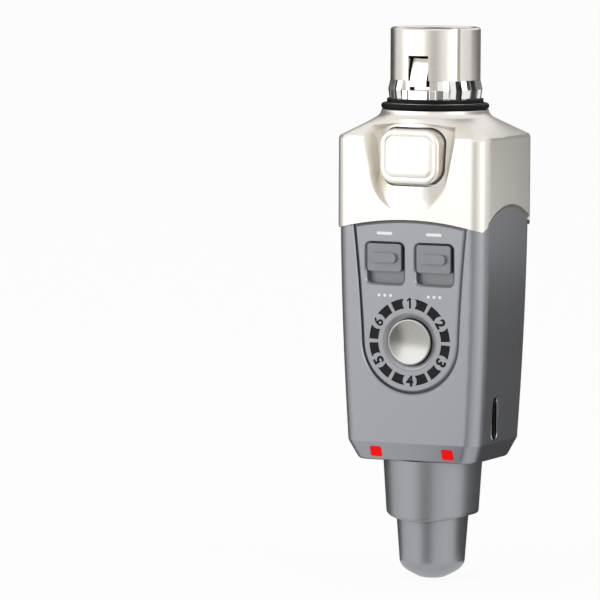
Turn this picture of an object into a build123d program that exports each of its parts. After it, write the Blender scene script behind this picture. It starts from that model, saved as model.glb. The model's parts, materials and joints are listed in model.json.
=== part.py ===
from build123d import *
import math
import os

# Plug-on radio transmitter. The origin is on the axis of the connector nose, at its tip, +Z points
# out of the nose, the control panel faces -Y. All sizes are in millimetres.

# Clearances
SEAT = 0.05        # between a fixed piece and its seat
RUNNING = 0.05     # radial, lever on its pin
AROUND = 0.20      # round a piece that moves
STOP = 0.10        # between a moving piece and what it works on

# Connector nose
NOSE_R = 8.0
NOSE_WALL = 1.1
NOSE_RIM = 0.3
NOSE_LENGTH = 9.2
SHANK_STEP = 0.6
KEYWAY_WIDTH = 1.7
KEYWAY_DEPTH = 0.7
KEYWAY_ANGLE = -40.0
LATCH_SLOT_WIDTH = 3.8
LATCH_SLOT_TOP = -4.8
LATCH_SLOT_BOTTOM = -10.9
CONTACT_BORE = 1.25
CONTACT_WALL = 0.35
CONTACT_DEPTH = 11.0
CONTACT_CIRCLE = 4.1
CONTACT_ANGLES = (180.0, 0.0, 90.0)
CONTACT_TAIL_R = 0.5
CONTACT_STUB = 0.15
INSERT_SINK = 0.4
INSERT_LENGTH = 19.6

# Spring ring, seal disc, seal ring
RING_HEIGHT = 3.4
RING_TOP_SHY = 0.1
RING_RIDGE_PROUD = 0.29
RING_BOTTOM_PROUD = 0.03
RING_FINGERS = 22
RING_GAP = 0.45
DISC_PROUD = 0.57
DISC_THICK = 0.7
SEAL_PROUD = 1.6
SEAL_SECTION = 0.55

# Upper housing
NECK_TOP_PROUD = 1.5
NECK_PROUD = 2.3
NECK_HEIGHT = 1.3
SHOULDER_HEIGHT = 3.3
TOP_WIDTH = 28.9
FACE_STEP = 3.75     # from the nose out to the box's front face
CORNER_R = 2.9
WALL = 1.6
ROOF_DROP = 1.7
NUT_HEIGHT = 2.4
NUT_WIDTH = 0.6
NUT_COVER = 0.3
SPLIT_CORNER = -35.1
SPLIT_FRONT_RISE = 1.6
SPLIT_SIDE_RISE = 3.6
SPLIT_FRONT_SPAN = 13.0
SPLIT_SIDE_SPAN = 10.5

# Finger scallop and latch
SCALLOP_TOP_HALF = 9.5
SCALLOP_LOW_HALF = 7.3
SCALLOP_TURN = -26.5
SCALLOP_BOTTOM = -32.4
SCALLOP_TAPER = 30.0
SCALLOP_BITE = 6.0
BARREL_FLARE = 0.114     # growth of the barrel's radius per unit below the neck
BACKING_WALL = 3.7
BUTTON_WIDTH = 11.6
BUTTON_HEIGHT = 10.0
BUTTON_TOP = -17.4
BUTTON_CORNER = 2.8
BUTTON_PROUD = 0.15
BUTTON_EDGE = 0.6
BUTTON_FLANGE = 0.8
BUTTON_LIP = 0.6
BUTTON_TRAVEL = 0.7
STEM_R = 1.2
STEM_LEVEL = -22.0
LEVER_WIDTH = 3.2
LEVER_THICK = 1.0
LEVER_STEP = 2.0
LEVER_TOP = -5.2
HOOK_TOE = -9.6
HOOK_HEEL = -10.3
PIN_LEVEL = -30.0
PIN_R = 0.75
PIN_LENGTH = 8.8
HUB_R = 1.7
SPRING_LEVEL = -26.0
SPRING_R = 1.5
SPRING_WIRE = 0.3
SPRING_TURNS = 5

# Lower housing
BODY_TOP = -31.0
BODY_HEIGHT = 42.2
BODY_BOW = 1.3
BODY_TAPER = 1.08
RIM_PROUD = 0.27
TONGUE_RISE = 1.8
TONGUE_FOOT = 6.0
TONGUE_WALL = 1.0

# Control panel
DIAL_LEVEL = -55.15
PANEL_THICK = 0.9
PANEL_TOP_HALF = 11.2
PANEL_RIM = 1.5
PANEL_WAIST = (0.75, 12.0)   # spread past the round part, lift over the dial
BEZEL_WALL = 0.83
BEZEL_SINK = 0.3
SEGMENT_GAP = 0.97
SEGMENT_WIDTH = 1.63
SEGMENT_START = 7.0
SEGMENT_END = 27.0
NUMBER_R = 1.38
CHANNELS = 6
LENS_IN_LIP = 0.27
LENS_OUT_LIP = 0.3
LENS_THICK = 0.55
CHANNEL_BUTTON_R = 4.07
CHANNEL_BUTTON_PROUD = 0.3
CHANNEL_DISH = 0.35
CHANNEL_FLANGE = 0.7
CHANNEL_TRAVEL = 0.4
WINDOW_PITCH = 9.44
WINDOW_WIDTH = 7.1
WINDOW_HEIGHT = 7.2
WINDOW_LIFT = 13.81
WINDOW_CORNER = 0.9
CAP_WIDTH = 6.5
CAP_HEIGHT = 4.9
CAP_PROUD = 0.25
RIB_WIDTH = 4.9
RIB_HEIGHT = 1.7
RIB_PROUD = 0.9
SLIDER_TRAVEL = 1.9
SLIDER_PLATE = 0.6
SLIDER_LIP = 0.5
POST_WIDTH = 1.6
POST_HEIGHT = 1.6

# Boards and what they carry
BOARD_FRONT = -5.6
BOARD_THICK = 1.2
BOARD_SIDE_GAP = 0.8
BOARD_DROP = 5.0
BOARD_TAIL_WIDTH = 17.0
BOARD_TAIL = 1.8
BOARD_FORK = 6.0
BOARD_SCREW_INSET = 1.9
BOARD_SCREW_UP = 5.65
BOARD_SCREW_DOWN = 6.85
SCREW_HEAD = 0.8
SCREW_BITE = 2.2
SWITCH_WIDTH = 7.6
SWITCH_HEIGHT = 6.4
SWITCH_DEPTH = 2.0
POST_ENTRY = 0.7
TACT_SIDE = 6.0
TACT_DEPTH = 1.6
PLUNGER_R = 1.6
PLUNGER_REACH = 0.55
PLUNGER_ENTRY = 0.5
AUDIO_BOARD_RIM = 0.3
AUDIO_BOARD_THICK = 1.2
AUDIO_NOTCH = 3.2
AUDIO_NOTCH_EDGE = -3.6
LED_SIZE = 1.6
LED_DEPTH = 0.8
SOCKET_FOOT = 0.4
SOCKET_LENGTH = 7.9
SOCKET_HEIGHT = 2.7
SOCKET_SHELL = 0.25
SOCKET_REACH = 7.3
SOCKET_BACK = 1.2
TONGUE_PLATE = 0.7
SHIELD_SKIN = 0.3
SHIELD_SIZE = (12.0, 7.5, 2.4)
RADIO_CHIP = (5.0, 0.9)
RADIO_X = -1.0
CHIP_DEPTH = 1.0
CHIPS = ((-2.0, 13.2, 7.0, 7.0), (5.2, 9.2, 3.0, 4.0), (-3.0, -11.2, 4.0, 4.0))   # x, lift, width, height
LINK_PINS = 4
LINK_PITCH = 2.54
LINK_PIN = 0.6
LINK_DEPTH = 2.4
LINK_HEIGHT = 2.4

# Frame and battery
FRAME_FRONT = -0.9
FRAME_THICK = 1.4
FRAME_SIDE_GAP = 0.4
FRAME_LIFT = 2.2
TOWER_FRONT = -1.5
TOWER_WIDTH = 14.8
TOWER_FOOT = -34.0
PLATE_TOP = -24.5
EAR_INNER = 2.2
EAR_THICK = 2.0
BOSS_R = 1.6
REAR_BOSS_R = 1.4
SCREW_R = 0.8
SCREW_HEAD_R = 1.5
HEAD_SEAT = 1.0
HEAD_SINK = 0.15
REAR_SCREW_LENGTH = 4.6
BOSS_DRILL = 3.4
BATTERY_WIDTH = 16.4
BATTERY_DEPTH = 6.2
BATTERY_DROP = 6.0
BATTERY_LIFT = 7.2
REAR_SCREW_X = 9.3
REAR_SCREW_RISE = 4.0
REAR_SCREW_LIFT = 5.2

# Base, status lenses, tail
BASE_HEIGHT = 3.4
BASE_SLOPE = 1.45
BASE_EDGE = 1.0
BASE_FLOOR = 1.4
SPIGOT = 1.3
SPIGOT_WALL = 0.8
STATUS_X = 6.85
STATUS_DROP = 1.73
STATUS_WIDTH = 2.1
STATUS_HEIGHT = 1.8
STATUS_CORNER = 0.4
SLEEVE_TOP_R = 8.85
SLEEVE_R = 8.15
SLEEVE_LENGTH = 10.9
SLEEVE_WAVE = 1.1
TAIL_TOP_R = 6.5
TAIL_R = 5.85
TAIL_WALL = 1.2
TAIL_LENGTH = 21.6
TAIL_DOME = 3.6
TAIL_FLANGE = 0.8
ANTENNA_WIDTH = 7.6
ANTENNA_THICK = 0.9
ANTENNA_Y = -0.15
ANTENNA_END_GAP = 5.2
ANTENNA_ENTRY = 6.2

# Derived levels and half sizes
RING_BOTTOM = -NOSE_LENGTH - RING_HEIGHT
DISC_BOTTOM = RING_BOTTOM - DISC_THICK
NECK_TOP = DISC_BOTTOM - 2 * SEAL_SECTION - 2 * SEAT
NECK_BOTTOM = NECK_TOP - NECK_HEIGHT
BOX_TOP = NECK_BOTTOM - SHOULDER_HEIGHT
ROOF = BOX_TOP - ROOF_DROP
NUT_TOP = ROOF + NUT_HEIGHT + SEAT
SHANK_R = NOSE_R - SHANK_STEP
NOSE_BORE = NOSE_R - NOSE_WALL
RING_TOP_R = NOSE_R - RING_TOP_SHY
RING_RIDGE_R = NOSE_R + RING_RIDGE_PROUD
RING_BOTTOM_R = NOSE_R + RING_BOTTOM_PROUD
DISC_R = NOSE_R + DISC_PROUD
SEAL_R = NOSE_R + SEAL_PROUD
NECK_TOP_R = NOSE_R + NECK_TOP_PROUD
NECK_R = NOSE_R + NECK_PROUD
AUDIO_BOARD_R = NOSE_BORE + AUDIO_BOARD_RIM
TOP_DEPTH = 2 * (NOSE_R + FACE_STEP)
FRONT_FACE = -TOP_DEPTH / 2
BUTTON_FRONT = FRONT_FACE - BUTTON_PROUD
BACKING_BACK = FRONT_FACE + BACKING_WALL
BUTTON_BACK = BACKING_BACK + STOP
NUT_COVER_R = SHANK_R + 2 * SEAT + NUT_WIDTH + NUT_COVER
AUDIO_BOARD_FRONT = BUTTON_BACK + BUTTON_FLANGE + BUTTON_TRAVEL + STOP
BUTTON_LEVEL = BUTTON_TOP - BUTTON_HEIGHT / 2
HOOK_REACH = NOSE_R
LEVER_FRONT = LEVER_STEP - NOSE_R
LEVER_BACK = LEVER_FRONT + LEVER_THICK
PIN_Y = LEVER_FRONT + LEVER_THICK / 2
SEAM = BODY_TOP - BODY_HEIGHT
BODY_WIDTH = TOP_WIDTH - 2 * RIM_PROUD
BODY_DEPTH = TOP_DEPTH - 2 * RIM_PROUD
SEAM_WIDTH = BODY_WIDTH - 2 * BODY_BOW
SEAM_DEPTH = BODY_DEPTH - 2 * BODY_TAPER
BOW_R = (BODY_HEIGHT ** 2 + BODY_BOW ** 2) / (2 * BODY_BOW)
FRONT_SLOPE = BODY_TAPER / BODY_HEIGHT
TILT = math.atan(FRONT_SLOPE)
BOARD_BACK = BOARD_FRONT + BOARD_THICK
FRAME_BACK = FRAME_FRONT + FRAME_THICK
FRAME_TOP = ROOF - AUDIO_BOARD_THICK - CONTACT_STUB - SEAT
FRAME_BOTTOM = SEAM + FRAME_LIFT
FRAME_WIDTH = SEAM_WIDTH - 2 * (WALL + FRAME_SIDE_GAP)
TONGUE_TOP = BODY_TOP + TONGUE_RISE
TONGUE_BOTTOM = BODY_TOP - TONGUE_FOOT
BOARD_TOP = BODY_TOP - BOARD_DROP
BOARD_TAIL_TOP = SEAM + BOARD_TAIL
BOARD_BOTTOM = SEAM - BOARD_TAIL
BOARD_WIDTH = SEAM_WIDTH - 2 * (WALL + BOARD_SIDE_GAP)
SOCKET_LEVEL = SEAM + SOCKET_FOOT + SOCKET_LENGTH / 2
BATTERY_TOP = BODY_TOP - BATTERY_DROP
BATTERY_BOTTOM = SEAM + BATTERY_LIFT
REAR_SCREW_LEVELS = (BODY_TOP + REAR_SCREW_RISE, SEAM + REAR_SCREW_LIFT)
STATUS_LEVEL = SEAM - STATUS_DROP
BASE_BOTTOM = SEAM - BASE_HEIGHT
TAIL_END = BASE_BOTTOM - TAIL_LENGTH
ANTENNA_BOTTOM = TAIL_END + ANTENNA_END_GAP
ANTENNA_TOP = SEAM + ANTENNA_ENTRY
SOCKET_Y = BOARD_BACK + SOCKET_HEIGHT / 2 + SEAT
RADIO_LEVEL = DIAL_LEVEL
FAR = 40.0         # longer than any piece that is cut
OVERLAP = 0.2      # how far features of one piece run into each other


def half_width(level):
    """Half the width of the lower housing at a level: its sides are arcs that start upright."""
    return BODY_WIDTH / 2 - BOW_R + math.sqrt(BOW_R ** 2 - (BODY_TOP - level) ** 2)


def half_depth(level):
    """Half the depth of the lower housing at a level: its front and back are tilted planes."""
    return BODY_DEPTH / 2 - (BODY_TOP - level) * FRONT_SLOPE


BEZEL_OUT = CHANNEL_BUTTON_R + AROUND + BEZEL_WALL
SEGMENT_IN = BEZEL_OUT + SEGMENT_GAP
SEGMENT_OUT = SEGMENT_IN + SEGMENT_WIDTH
LENS_IN = SEGMENT_IN - LENS_IN_LIP
LENS_OUT = SEGMENT_OUT + LENS_OUT_LIP
PANEL_R = SEGMENT_OUT + PANEL_RIM

PANEL = Plane(
    origin=(0, -half_depth(DIAL_LEVEL), DIAL_LEVEL),
    x_dir=(1, 0, 0),
    z_dir=(0, -math.cos(TILT), -math.sin(TILT)),
)


def block(x, y, z):
    """A box between the pairs of limits x, y and z."""
    centre = Pos((x[0] + x[1]) / 2, (y[0] + y[1]) / 2, (z[0] + z[1]) / 2)
    return centre * Box(abs(x[1] - x[0]), abs(y[1] - y[0]), abs(z[1] - z[0]))


def disc(radius, top, bottom):
    """A cylinder on the Z axis between two levels."""
    return Pos(0, 0, (top + bottom) / 2) * Cylinder(radius, top - bottom)


def tube(outer, inner, top, bottom):
    """A round tube on the Z axis between two levels."""
    return disc(outer, top, bottom) - disc(inner, top + 1, bottom - 1)


def turned(*points):
    """A solid turned about the Z axis from a closed outline of (radius, level) points."""
    return revolve(Plane.XZ * make_face(Polyline(*points, close=True)), Axis.Z)


def rod_y(radius, x, z, y):
    """A cylinder along Y between the pair of limits y."""
    return Pos(x, (y[0] + y[1]) / 2, z) * Rot(90, 0, 0) * Cylinder(radius, abs(y[1] - y[0]))


def rod_x(radius, y, z, half):
    """A cylinder along X, centred on the YZ plane."""
    return Pos(0, y, z) * Rot(0, 90, 0) * Cylinder(radius, 2 * half)


def rounded_box(width, depth, corner, top, bottom):
    """An upright prism with rounded corners between two levels."""
    return Pos(0, 0, bottom) * extrude(RectangleRounded(width, depth, corner), top - bottom)


def on_panel(sketch, front, back, x=0.0, lift=0.0):
    """A prism square to the control panel, between two heights over its face."""
    return PANEL * Pos(x, lift, back) * extrude(sketch, front - back)


def body_blank(inset, top, bottom):
    """The lower housing's form, drawn in by an inset, with its four long edges rounded."""
    middle = (top + bottom) / 2
    arc = [(half_width(level) - inset, level) for level in (top, middle, bottom)]
    right = ThreePointArc(*arc)
    left = ThreePointArc(*[(-x, level) for x, level in arc])
    joins = [Line(left @ 0, right @ 0), Line(left @ 1, right @ 1)]
    front = extrude(Plane.XZ * make_face([right, left, *joins]), FAR, both=True)
    low, high = half_depth(bottom) - inset, half_depth(top) - inset
    outline = Polyline((-high, top), (high, top), (low, bottom), (-low, bottom), close=True)
    blank = front & extrude(Plane.YZ * make_face(outline), FAR, both=True)
    long_edges = [e for e in blank.edges() if e.bounding_box().size.Z > 0.8 * (top - bottom)]
    return fillet(long_edges, CORNER_R - inset)


def below_arch(plane, span, rise):
    """What lies below an arch over the whole body: its crown is rise above the split's corners."""
    radius = (span ** 2 + rise ** 2) / (2 * rise)
    crown = SPLIT_CORNER + rise
    reach = span + 3.5
    foot = crown - radius + math.sqrt(radius ** 2 - reach ** 2)
    arch = ThreePointArc((-reach, foot), (0, crown), (reach, foot))
    legs = Polyline((reach, foot), (reach, -2 * FAR), (-reach, -2 * FAR), (-reach, foot))
    return extrude(plane * make_face([arch, legs]), FAR, both=True)


def below_split():
    """Everything below the line on which the two housings meet."""
    front = below_arch(Plane.XZ, SPLIT_FRONT_SPAN, SPLIT_FRONT_RISE)
    return front + below_arch(Plane.YZ, SPLIT_SIDE_SPAN, SPLIT_SIDE_RISE)


def contact_places():
    for angle in CONTACT_ANGLES:
        turn = math.radians(angle)
        yield CONTACT_CIRCLE * math.cos(turn), CONTACT_CIRCLE * math.sin(turn)


# ---------------------------------------------------------------- connector nose

def nose_shell():
    """Metal barrel with a keyway and a latch window, on a thinner shank that goes into the neck."""
    shell = turned(
        (NOSE_BORE + NOSE_RIM, 0), (NOSE_R - NOSE_RIM, 0), (NOSE_R, -NOSE_RIM), (NOSE_R, -NOSE_LENGTH),
        (SHANK_R, -NOSE_LENGTH), (SHANK_R, ROOF), (NOSE_BORE, ROOF), (NOSE_BORE, -NOSE_RIM),
    )
    half = LATCH_SLOT_WIDTH / 2
    shell -= block((-half, half), (-FAR, 0), (LATCH_SLOT_BOTTOM, LATCH_SLOT_TOP))
    groove = block((NOSE_R - KEYWAY_DEPTH, FAR), (-KEYWAY_WIDTH / 2, KEYWAY_WIDTH / 2), (-NOSE_LENGTH, 1))
    return shell - Rot(0, 0, KEYWAY_ANGLE) * groove


def nose_insert():
    """Insulating core that holds the three contacts, slotted in front for the latch lever."""
    top = -INSERT_SINK
    bottom = top - INSERT_LENGTH
    core = disc(NOSE_BORE - SEAT, top, bottom)
    half = LEVER_WIDTH / 2 + AROUND
    swing = BUTTON_TRAVEL / (STEM_LEVEL - PIN_LEVEL) * (LEVER_TOP - PIN_LEVEL)
    core -= block((-half, half), (-FAR, LEVER_BACK + swing + AROUND), (bottom - 1, LEVER_TOP + 2 * AROUND))
    for x, y in contact_places():
        seat = top - CONTACT_WALL
        core -= Pos(x, y, 0) * disc(CONTACT_BORE, 1, seat - 1)
        core -= Pos(x, y, 0) * disc(CONTACT_BORE + CONTACT_WALL + SEAT, seat, bottom - 1)
    return core


def contact(x, y):
    """Socket contact: a tube closed below, with a tail that is soldered into the audio board."""
    top = -INSERT_SINK - CONTACT_WALL - SEAT
    outer = CONTACT_BORE + CONTACT_WALL
    floor = -INSERT_SINK - CONTACT_DEPTH
    barrel = disc(outer, top, floor - 1) - disc(CONTACT_BORE, top + 1, floor)
    tail = disc(CONTACT_TAIL_R, floor - 1, ROOF - AUDIO_BOARD_THICK - CONTACT_STUB)
    return Pos(x, y, 0) * (barrel + tail)


def ground_ring():
    """Springy ground ring at the foot of the nose: two-faceted fingers over a plain band."""
    ridge = -NOSE_LENGTH - RING_HEIGHT / 2
    inner = SHANK_R + SEAT
    ring = turned(
        (inner, -NOSE_LENGTH - SEAT), (RING_TOP_R, -NOSE_LENGTH - SEAT), (RING_RIDGE_R, ridge),
        (RING_BOTTOM_R, RING_BOTTOM), (inner, RING_BOTTOM),
    )
    for finger in range(RING_FINGERS):
        turn = Rot(0, 0, 90 + 360 * (finger + 0.5) / RING_FINGERS)
        ring -= turn * block((SHANK_R + 0.35, FAR), (-RING_GAP / 2, RING_GAP / 2), (RING_BOTTOM + 0.6, 0))
    half = LATCH_SLOT_WIDTH / 2
    return ring - block((-half, half), (-FAR, 0), (LATCH_SLOT_BOTTOM, 0))


def seal_ring():
    """Rubber ring between the disc and the neck."""
    centre = (DISC_BOTTOM + NECK_TOP) / 2
    return Pos(0, 0, centre) * Torus(SEAL_R - SEAL_SECTION, SEAL_SECTION)


def nose_nut():
    """Ring nut that pulls the nose down onto the neck."""
    return tube(SHANK_R + SEAT + NUT_WIDTH, SHANK_R + SEAT, NUT_TOP - SEAT, ROOF)


# ---------------------------------------------------------------- upper housing and latch

def neck_and_shoulder():
    """The round neck with its hollow flank, and the shoulder down to the rounded box."""
    spigot = SEAL_R - 2 * SEAL_SECTION - SEAT
    flank = ThreePointArc(
        (NECK_TOP_R, NECK_TOP),
        ((NECK_TOP_R + NECK_R) / 2 - 0.15, (NECK_TOP + NECK_BOTTOM) / 2 - 0.1),
        (NECK_R, NECK_BOTTOM),
    )
    rest = Polyline((NECK_R, NECK_BOTTOM), (0, NECK_BOTTOM), (0, DISC_BOTTOM), (spigot, DISC_BOTTOM),
                    (spigot, NECK_TOP), (NECK_TOP_R, NECK_TOP))
    neck = revolve(Plane.XZ * make_face([flank, rest]), Axis.Z)
    shoulder = loft([
        Pos(0, 0, NECK_BOTTOM) * Circle(NECK_R),
        Pos(0, 0, BOX_TOP) * RectangleRounded(TOP_WIDTH, TOP_DEPTH, CORNER_R),
    ])
    return neck + shoulder


def barrel():
    """The flared barrel that the neck runs down into, which stays as the scallop's floor."""
    height = NECK_BOTTOM - SCALLOP_BOTTOM + 1
    foot = NECK_R + BARREL_FLARE * height
    return Pos(0, 0, NECK_BOTTOM - height / 2) * Cone(foot, NECK_R, height)


def scallop():
    """The finger recess round the latch button: slanted walls that run in to the barrel."""
    outline = make_face([
        Polyline((-SCALLOP_LOW_HALF, SCALLOP_TURN), (-SCALLOP_TOP_HALF, NECK_BOTTOM),
                 (SCALLOP_TOP_HALF, NECK_BOTTOM), (SCALLOP_LOW_HALF, SCALLOP_TURN)),
        ThreePointArc((SCALLOP_LOW_HALF, SCALLOP_TURN), (0, SCALLOP_BOTTOM), (-SCALLOP_LOW_HALF, SCALLOP_TURN)),
    ])
    front = Plane(origin=(0, FRONT_FACE, 0), x_dir=(-1, 0, 0), z_dir=(0, 1, 0))
    recess = extrude(front * outline, SCALLOP_BITE, taper=SCALLOP_TAPER)
    recess += extrude(Plane.XZ.offset(-FRONT_FACE) * outline, 1)
    return recess - barrel()


def button_outline(grow):
    return RectangleRounded(BUTTON_WIDTH + 2 * grow, BUTTON_HEIGHT + 2 * grow, BUTTON_CORNER + grow)


def upper_housing():
    """Cast shell from the neck to the arched split, with the scallop and the button's window."""
    shell = neck_and_shoulder()
    shell += rounded_box(TOP_WIDTH, TOP_DEPTH, CORNER_R, BOX_TOP, SPLIT_CORNER - 3)
    cavity = rounded_box(TOP_WIDTH - 2 * WALL, TOP_DEPTH - 2 * WALL, CORNER_R - WALL, ROOF, SPLIT_CORNER - 4)
    backing = block((-SCALLOP_TOP_HALF, SCALLOP_TOP_HALF), (FRONT_FACE + WALL / 2, BACKING_BACK),
                    (TONGUE_TOP + AROUND, ROOF + 1))
    shell -= cavity - backing
    shell -= below_split()
    shell -= scallop()
    shell -= disc(SHANK_R + SEAT, 0, ROOF - 1)
    shell -= disc(SHANK_R + 2 * SEAT + NUT_WIDTH, NUT_TOP, ROOF - 1)
    window = extrude(Plane.XZ * Pos(0, BUTTON_LEVEL) * button_outline(AROUND), FAR)
    window = Pos(0, BUTTON_BACK + BUTTON_TRAVEL + STOP, 0) * window
    shell -= window - disc(NUT_COVER_R, 0, ROOF)
    for x in (-REAR_SCREW_X, REAR_SCREW_X):
        shell -= rear_screw_hole(x, REAR_SCREW_LEVELS[0], TOP_DEPTH / 2)
    return shell


def latch_button():
    """Press button: a cushioned plate, a lip behind the wall and a stem that works the lever."""
    plate = extrude(Plane.XZ * Pos(0, BUTTON_LEVEL) * button_outline(0), BUTTON_BACK - BUTTON_FRONT)
    plate = Pos(0, BUTTON_BACK, 0) * plate
    rim = plate.faces().sort_by(Axis.Y)[0].edges()
    button = fillet(rim, BUTTON_EDGE)
    button -= disc(NUT_COVER_R + BUTTON_TRAVEL + STOP, 0, ROOF - AROUND)
    side = BUTTON_WIDTH / 2 + BUTTON_LIP
    foot = BUTTON_TOP - BUTTON_HEIGHT - BUTTON_LIP
    button += block((-side, side), (BUTTON_BACK, BUTTON_BACK + BUTTON_FLANGE), (foot, ROOF - STOP))
    return button + rod_y(STEM_R, 0, STEM_LEVEL, (BUTTON_BACK, LEVER_FRONT - STOP))


def latch_lever():
    """Sprung lever: its hook stands in the nose's window, and it tilts on the pin below."""
    strip = Polyline(
        (LEVER_BACK, PIN_LEVEL), (LEVER_BACK, LEVER_TOP), (LEVER_FRONT - 0.2, LEVER_TOP),
        (-HOOK_REACH, HOOK_TOE), (-HOOK_REACH, HOOK_HEEL), (LEVER_FRONT, HOOK_HEEL),
        (LEVER_FRONT, PIN_LEVEL), close=True,
    )
    lever = extrude(Plane.YZ * make_face(strip), LEVER_WIDTH / 2, both=True)
    lever += rod_x(HUB_R, PIN_Y, PIN_LEVEL, LEVER_WIDTH / 2)
    return lever - rod_x(PIN_R + RUNNING, PIN_Y, PIN_LEVEL, FAR)


def latch_spring():
    """Compression spring between the lever and the frame's tower."""
    start = LEVER_BACK + STOP
    length = TOWER_FRONT - STOP - start
    pitch = (length - 2 * SPRING_WIRE) / SPRING_TURNS
    coil = Helix(pitch, pitch * SPRING_TURNS, SPRING_R - SPRING_WIRE)
    wire = sweep(Plane(coil @ 0, z_dir=coil % 0) * Circle(SPRING_WIRE), coil, is_frenet=True)
    return Pos(0, start + SPRING_WIRE, SPRING_LEVEL) * Rot(-90, 0, 0) * wire


# ---------------------------------------------------------------- lower housing and panel

def rear_screw_hole(x, level, face):
    """Countersunk hole from the back for a housing screw."""
    hole = rod_y(SCREW_R + STOP, x, level, (0, FAR))
    return hole + rod_y(SCREW_HEAD_R + STOP, x, level, (face - HEAD_SEAT, FAR))


def panel_outline(grow):
    """Full width under the split, drawn in past the switches, round below the dial."""
    top = (BODY_TOP - DIAL_LEVEL) / math.cos(TILT)
    wide, narrow = PANEL_TOP_HALF + grow, PANEL_R + grow
    waist_spread, waist_lift = PANEL_WAIST
    waist = narrow + waist_spread
    return make_face([
        Line((-wide, top), (wide, top)),
        ThreePointArc((wide, top), (waist, waist_lift), (narrow, 0)),
        ThreePointArc((narrow, 0), (0, -narrow), (-narrow, 0)),
        ThreePointArc((-narrow, 0), (-waist, waist_lift), (-wide, top)),
    ])


def segment_places():
    """The angle of each dial window's number, and the side of the number that it lies on."""
    for channel in range(CHANNELS):
        for side in (-1, 1):
            yield 90 - 360 * channel / CHANNELS, side


def segment(number, side, grow):
    """One of the dial's twelve arc windows, hollowed beside its number."""
    inner, outer = SEGMENT_IN - grow, SEGMENT_OUT + grow
    turn = math.degrees(grow / SEGMENT_OUT)
    start = number + side * (SEGMENT_START - turn)
    span = side * (SEGMENT_END - SEGMENT_START + 2 * turn)
    low = CenterArc((0, 0), inner, start, span)
    high = CenterArc((0, 0), outer, start, span)
    window = make_face([low, high, Line(low @ 0, high @ 0), Line(low @ 1, high @ 1)])
    middle = (SEGMENT_IN + SEGMENT_OUT) / 2
    place = Rot(0, 0, number) * Pos(middle, 0, 0)
    return window - place * Circle(NUMBER_R - grow)


def window_places():
    return (-WINDOW_PITCH / 2, WINDOW_PITCH / 2)


def window_outline():
    return RectangleRounded(WINDOW_WIDTH, WINDOW_HEIGHT, WINDOW_CORNER)


def control_panel():
    """Inset face plate with the switch windows, the dial's arc windows and the button's hole."""
    plate = on_panel(panel_outline(0), 0, -PANEL_THICK) & below_split()
    for x in window_places():
        plate -= on_panel(window_outline(), 1, -FAR / 2, x, WINDOW_LIFT)
    for number, side in segment_places():
        plate -= on_panel(segment(number, side, SEAT), 1, -FAR / 2)
    return plate - on_panel(Circle(BEZEL_OUT + SEAT), 1, -FAR / 2)


def lower_housing():
    """Bowed body with a tongue into the upper housing and a pocket for the control panel."""
    tongue_gap = WALL + SEAT
    shell = body_blank(0, BODY_TOP, SEAM) & below_split()
    shell += rounded_box(TOP_WIDTH - 2 * tongue_gap, TOP_DEPTH - 2 * tongue_gap, CORNER_R - tongue_gap,
                         TONGUE_TOP, TONGUE_BOTTOM)
    shell -= body_blank(WALL, TONGUE_BOTTOM, SEAM - 1)
    inner_gap = tongue_gap + TONGUE_WALL
    shell -= rounded_box(TOP_WIDTH - 2 * inner_gap, TOP_DEPTH - 2 * inner_gap, 0.2,
                         TONGUE_TOP + 1, TONGUE_BOTTOM)
    shell -= on_panel(panel_outline(SEAT), 2, -PANEL_THICK - SEAT) & below_split()
    for x in window_places():
        shell -= on_panel(window_outline(), 1, -3 * WALL, x, WINDOW_LIFT)
    shell -= on_panel(Circle(LENS_OUT + SEAT), 1, -3 * WALL)
    slot = Plane.YZ * Pos(SOCKET_Y, SOCKET_LEVEL) * Rot(0, 0, 90) * SlotOverall(
        SOCKET_LENGTH + 2 * SEAT, SOCKET_HEIGHT + 2 * SEAT)
    shell -= extrude(slot, FAR)
    for x in (-REAR_SCREW_X, REAR_SCREW_X):
        shell -= rear_screw_hole(x, REAR_SCREW_LEVELS[1], half_depth(REAR_SCREW_LEVELS[1]))
    return shell


def channel_lens():
    """Smoked light guide: a ring behind the panel with twelve arcs that fill its windows."""
    back = -PANEL_THICK - SEAT
    ring = on_panel(Circle(LENS_OUT) - Circle(LENS_IN), back, back - LENS_THICK)
    for number, side in segment_places():
        ring += on_panel(segment(number, side, 0), 0, back)
    return ring


def button_bezel():
    """Collar round the channel button."""
    sketch = Circle(BEZEL_OUT) - Circle(CHANNEL_BUTTON_R + AROUND)
    return on_panel(sketch, -BEZEL_SINK, -WALL)


def channel_button():
    """Dished round button with a lip behind the collar and a post onto the plunger."""
    cap = on_panel(Circle(CHANNEL_BUTTON_R), CHANNEL_BUTTON_PROUD, -WALL - STOP)
    dish_r = (CHANNEL_BUTTON_R ** 2 + CHANNEL_DISH ** 2) / (2 * CHANNEL_DISH)
    cap -= PANEL * Pos(0, 0, CHANNEL_BUTTON_PROUD - CHANNEL_DISH + dish_r + 0.02) * Sphere(dish_r)
    cap += on_panel(Circle(BEZEL_OUT - AROUND), -WALL - STOP, -WALL - STOP - CHANNEL_FLANGE)
    post_top = -half_depth(DIAL_LEVEL) + WALL + STOP + CHANNEL_FLANGE / 2
    return cap + rod_y(PLUNGER_R - 0.2, 0, DIAL_LEVEL, (post_top, plunger_front() - SEAT))


def plunger_front():
    return BOARD_FRONT - TACT_DEPTH - PLUNGER_REACH


def button_plunger():
    """Plunger of the channel switch: it goes in with the button."""
    end = BOARD_FRONT - TACT_DEPTH + PLUNGER_ENTRY
    return rod_y(PLUNGER_R, 0, DIAL_LEVEL, (plunger_front(), end))


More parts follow.
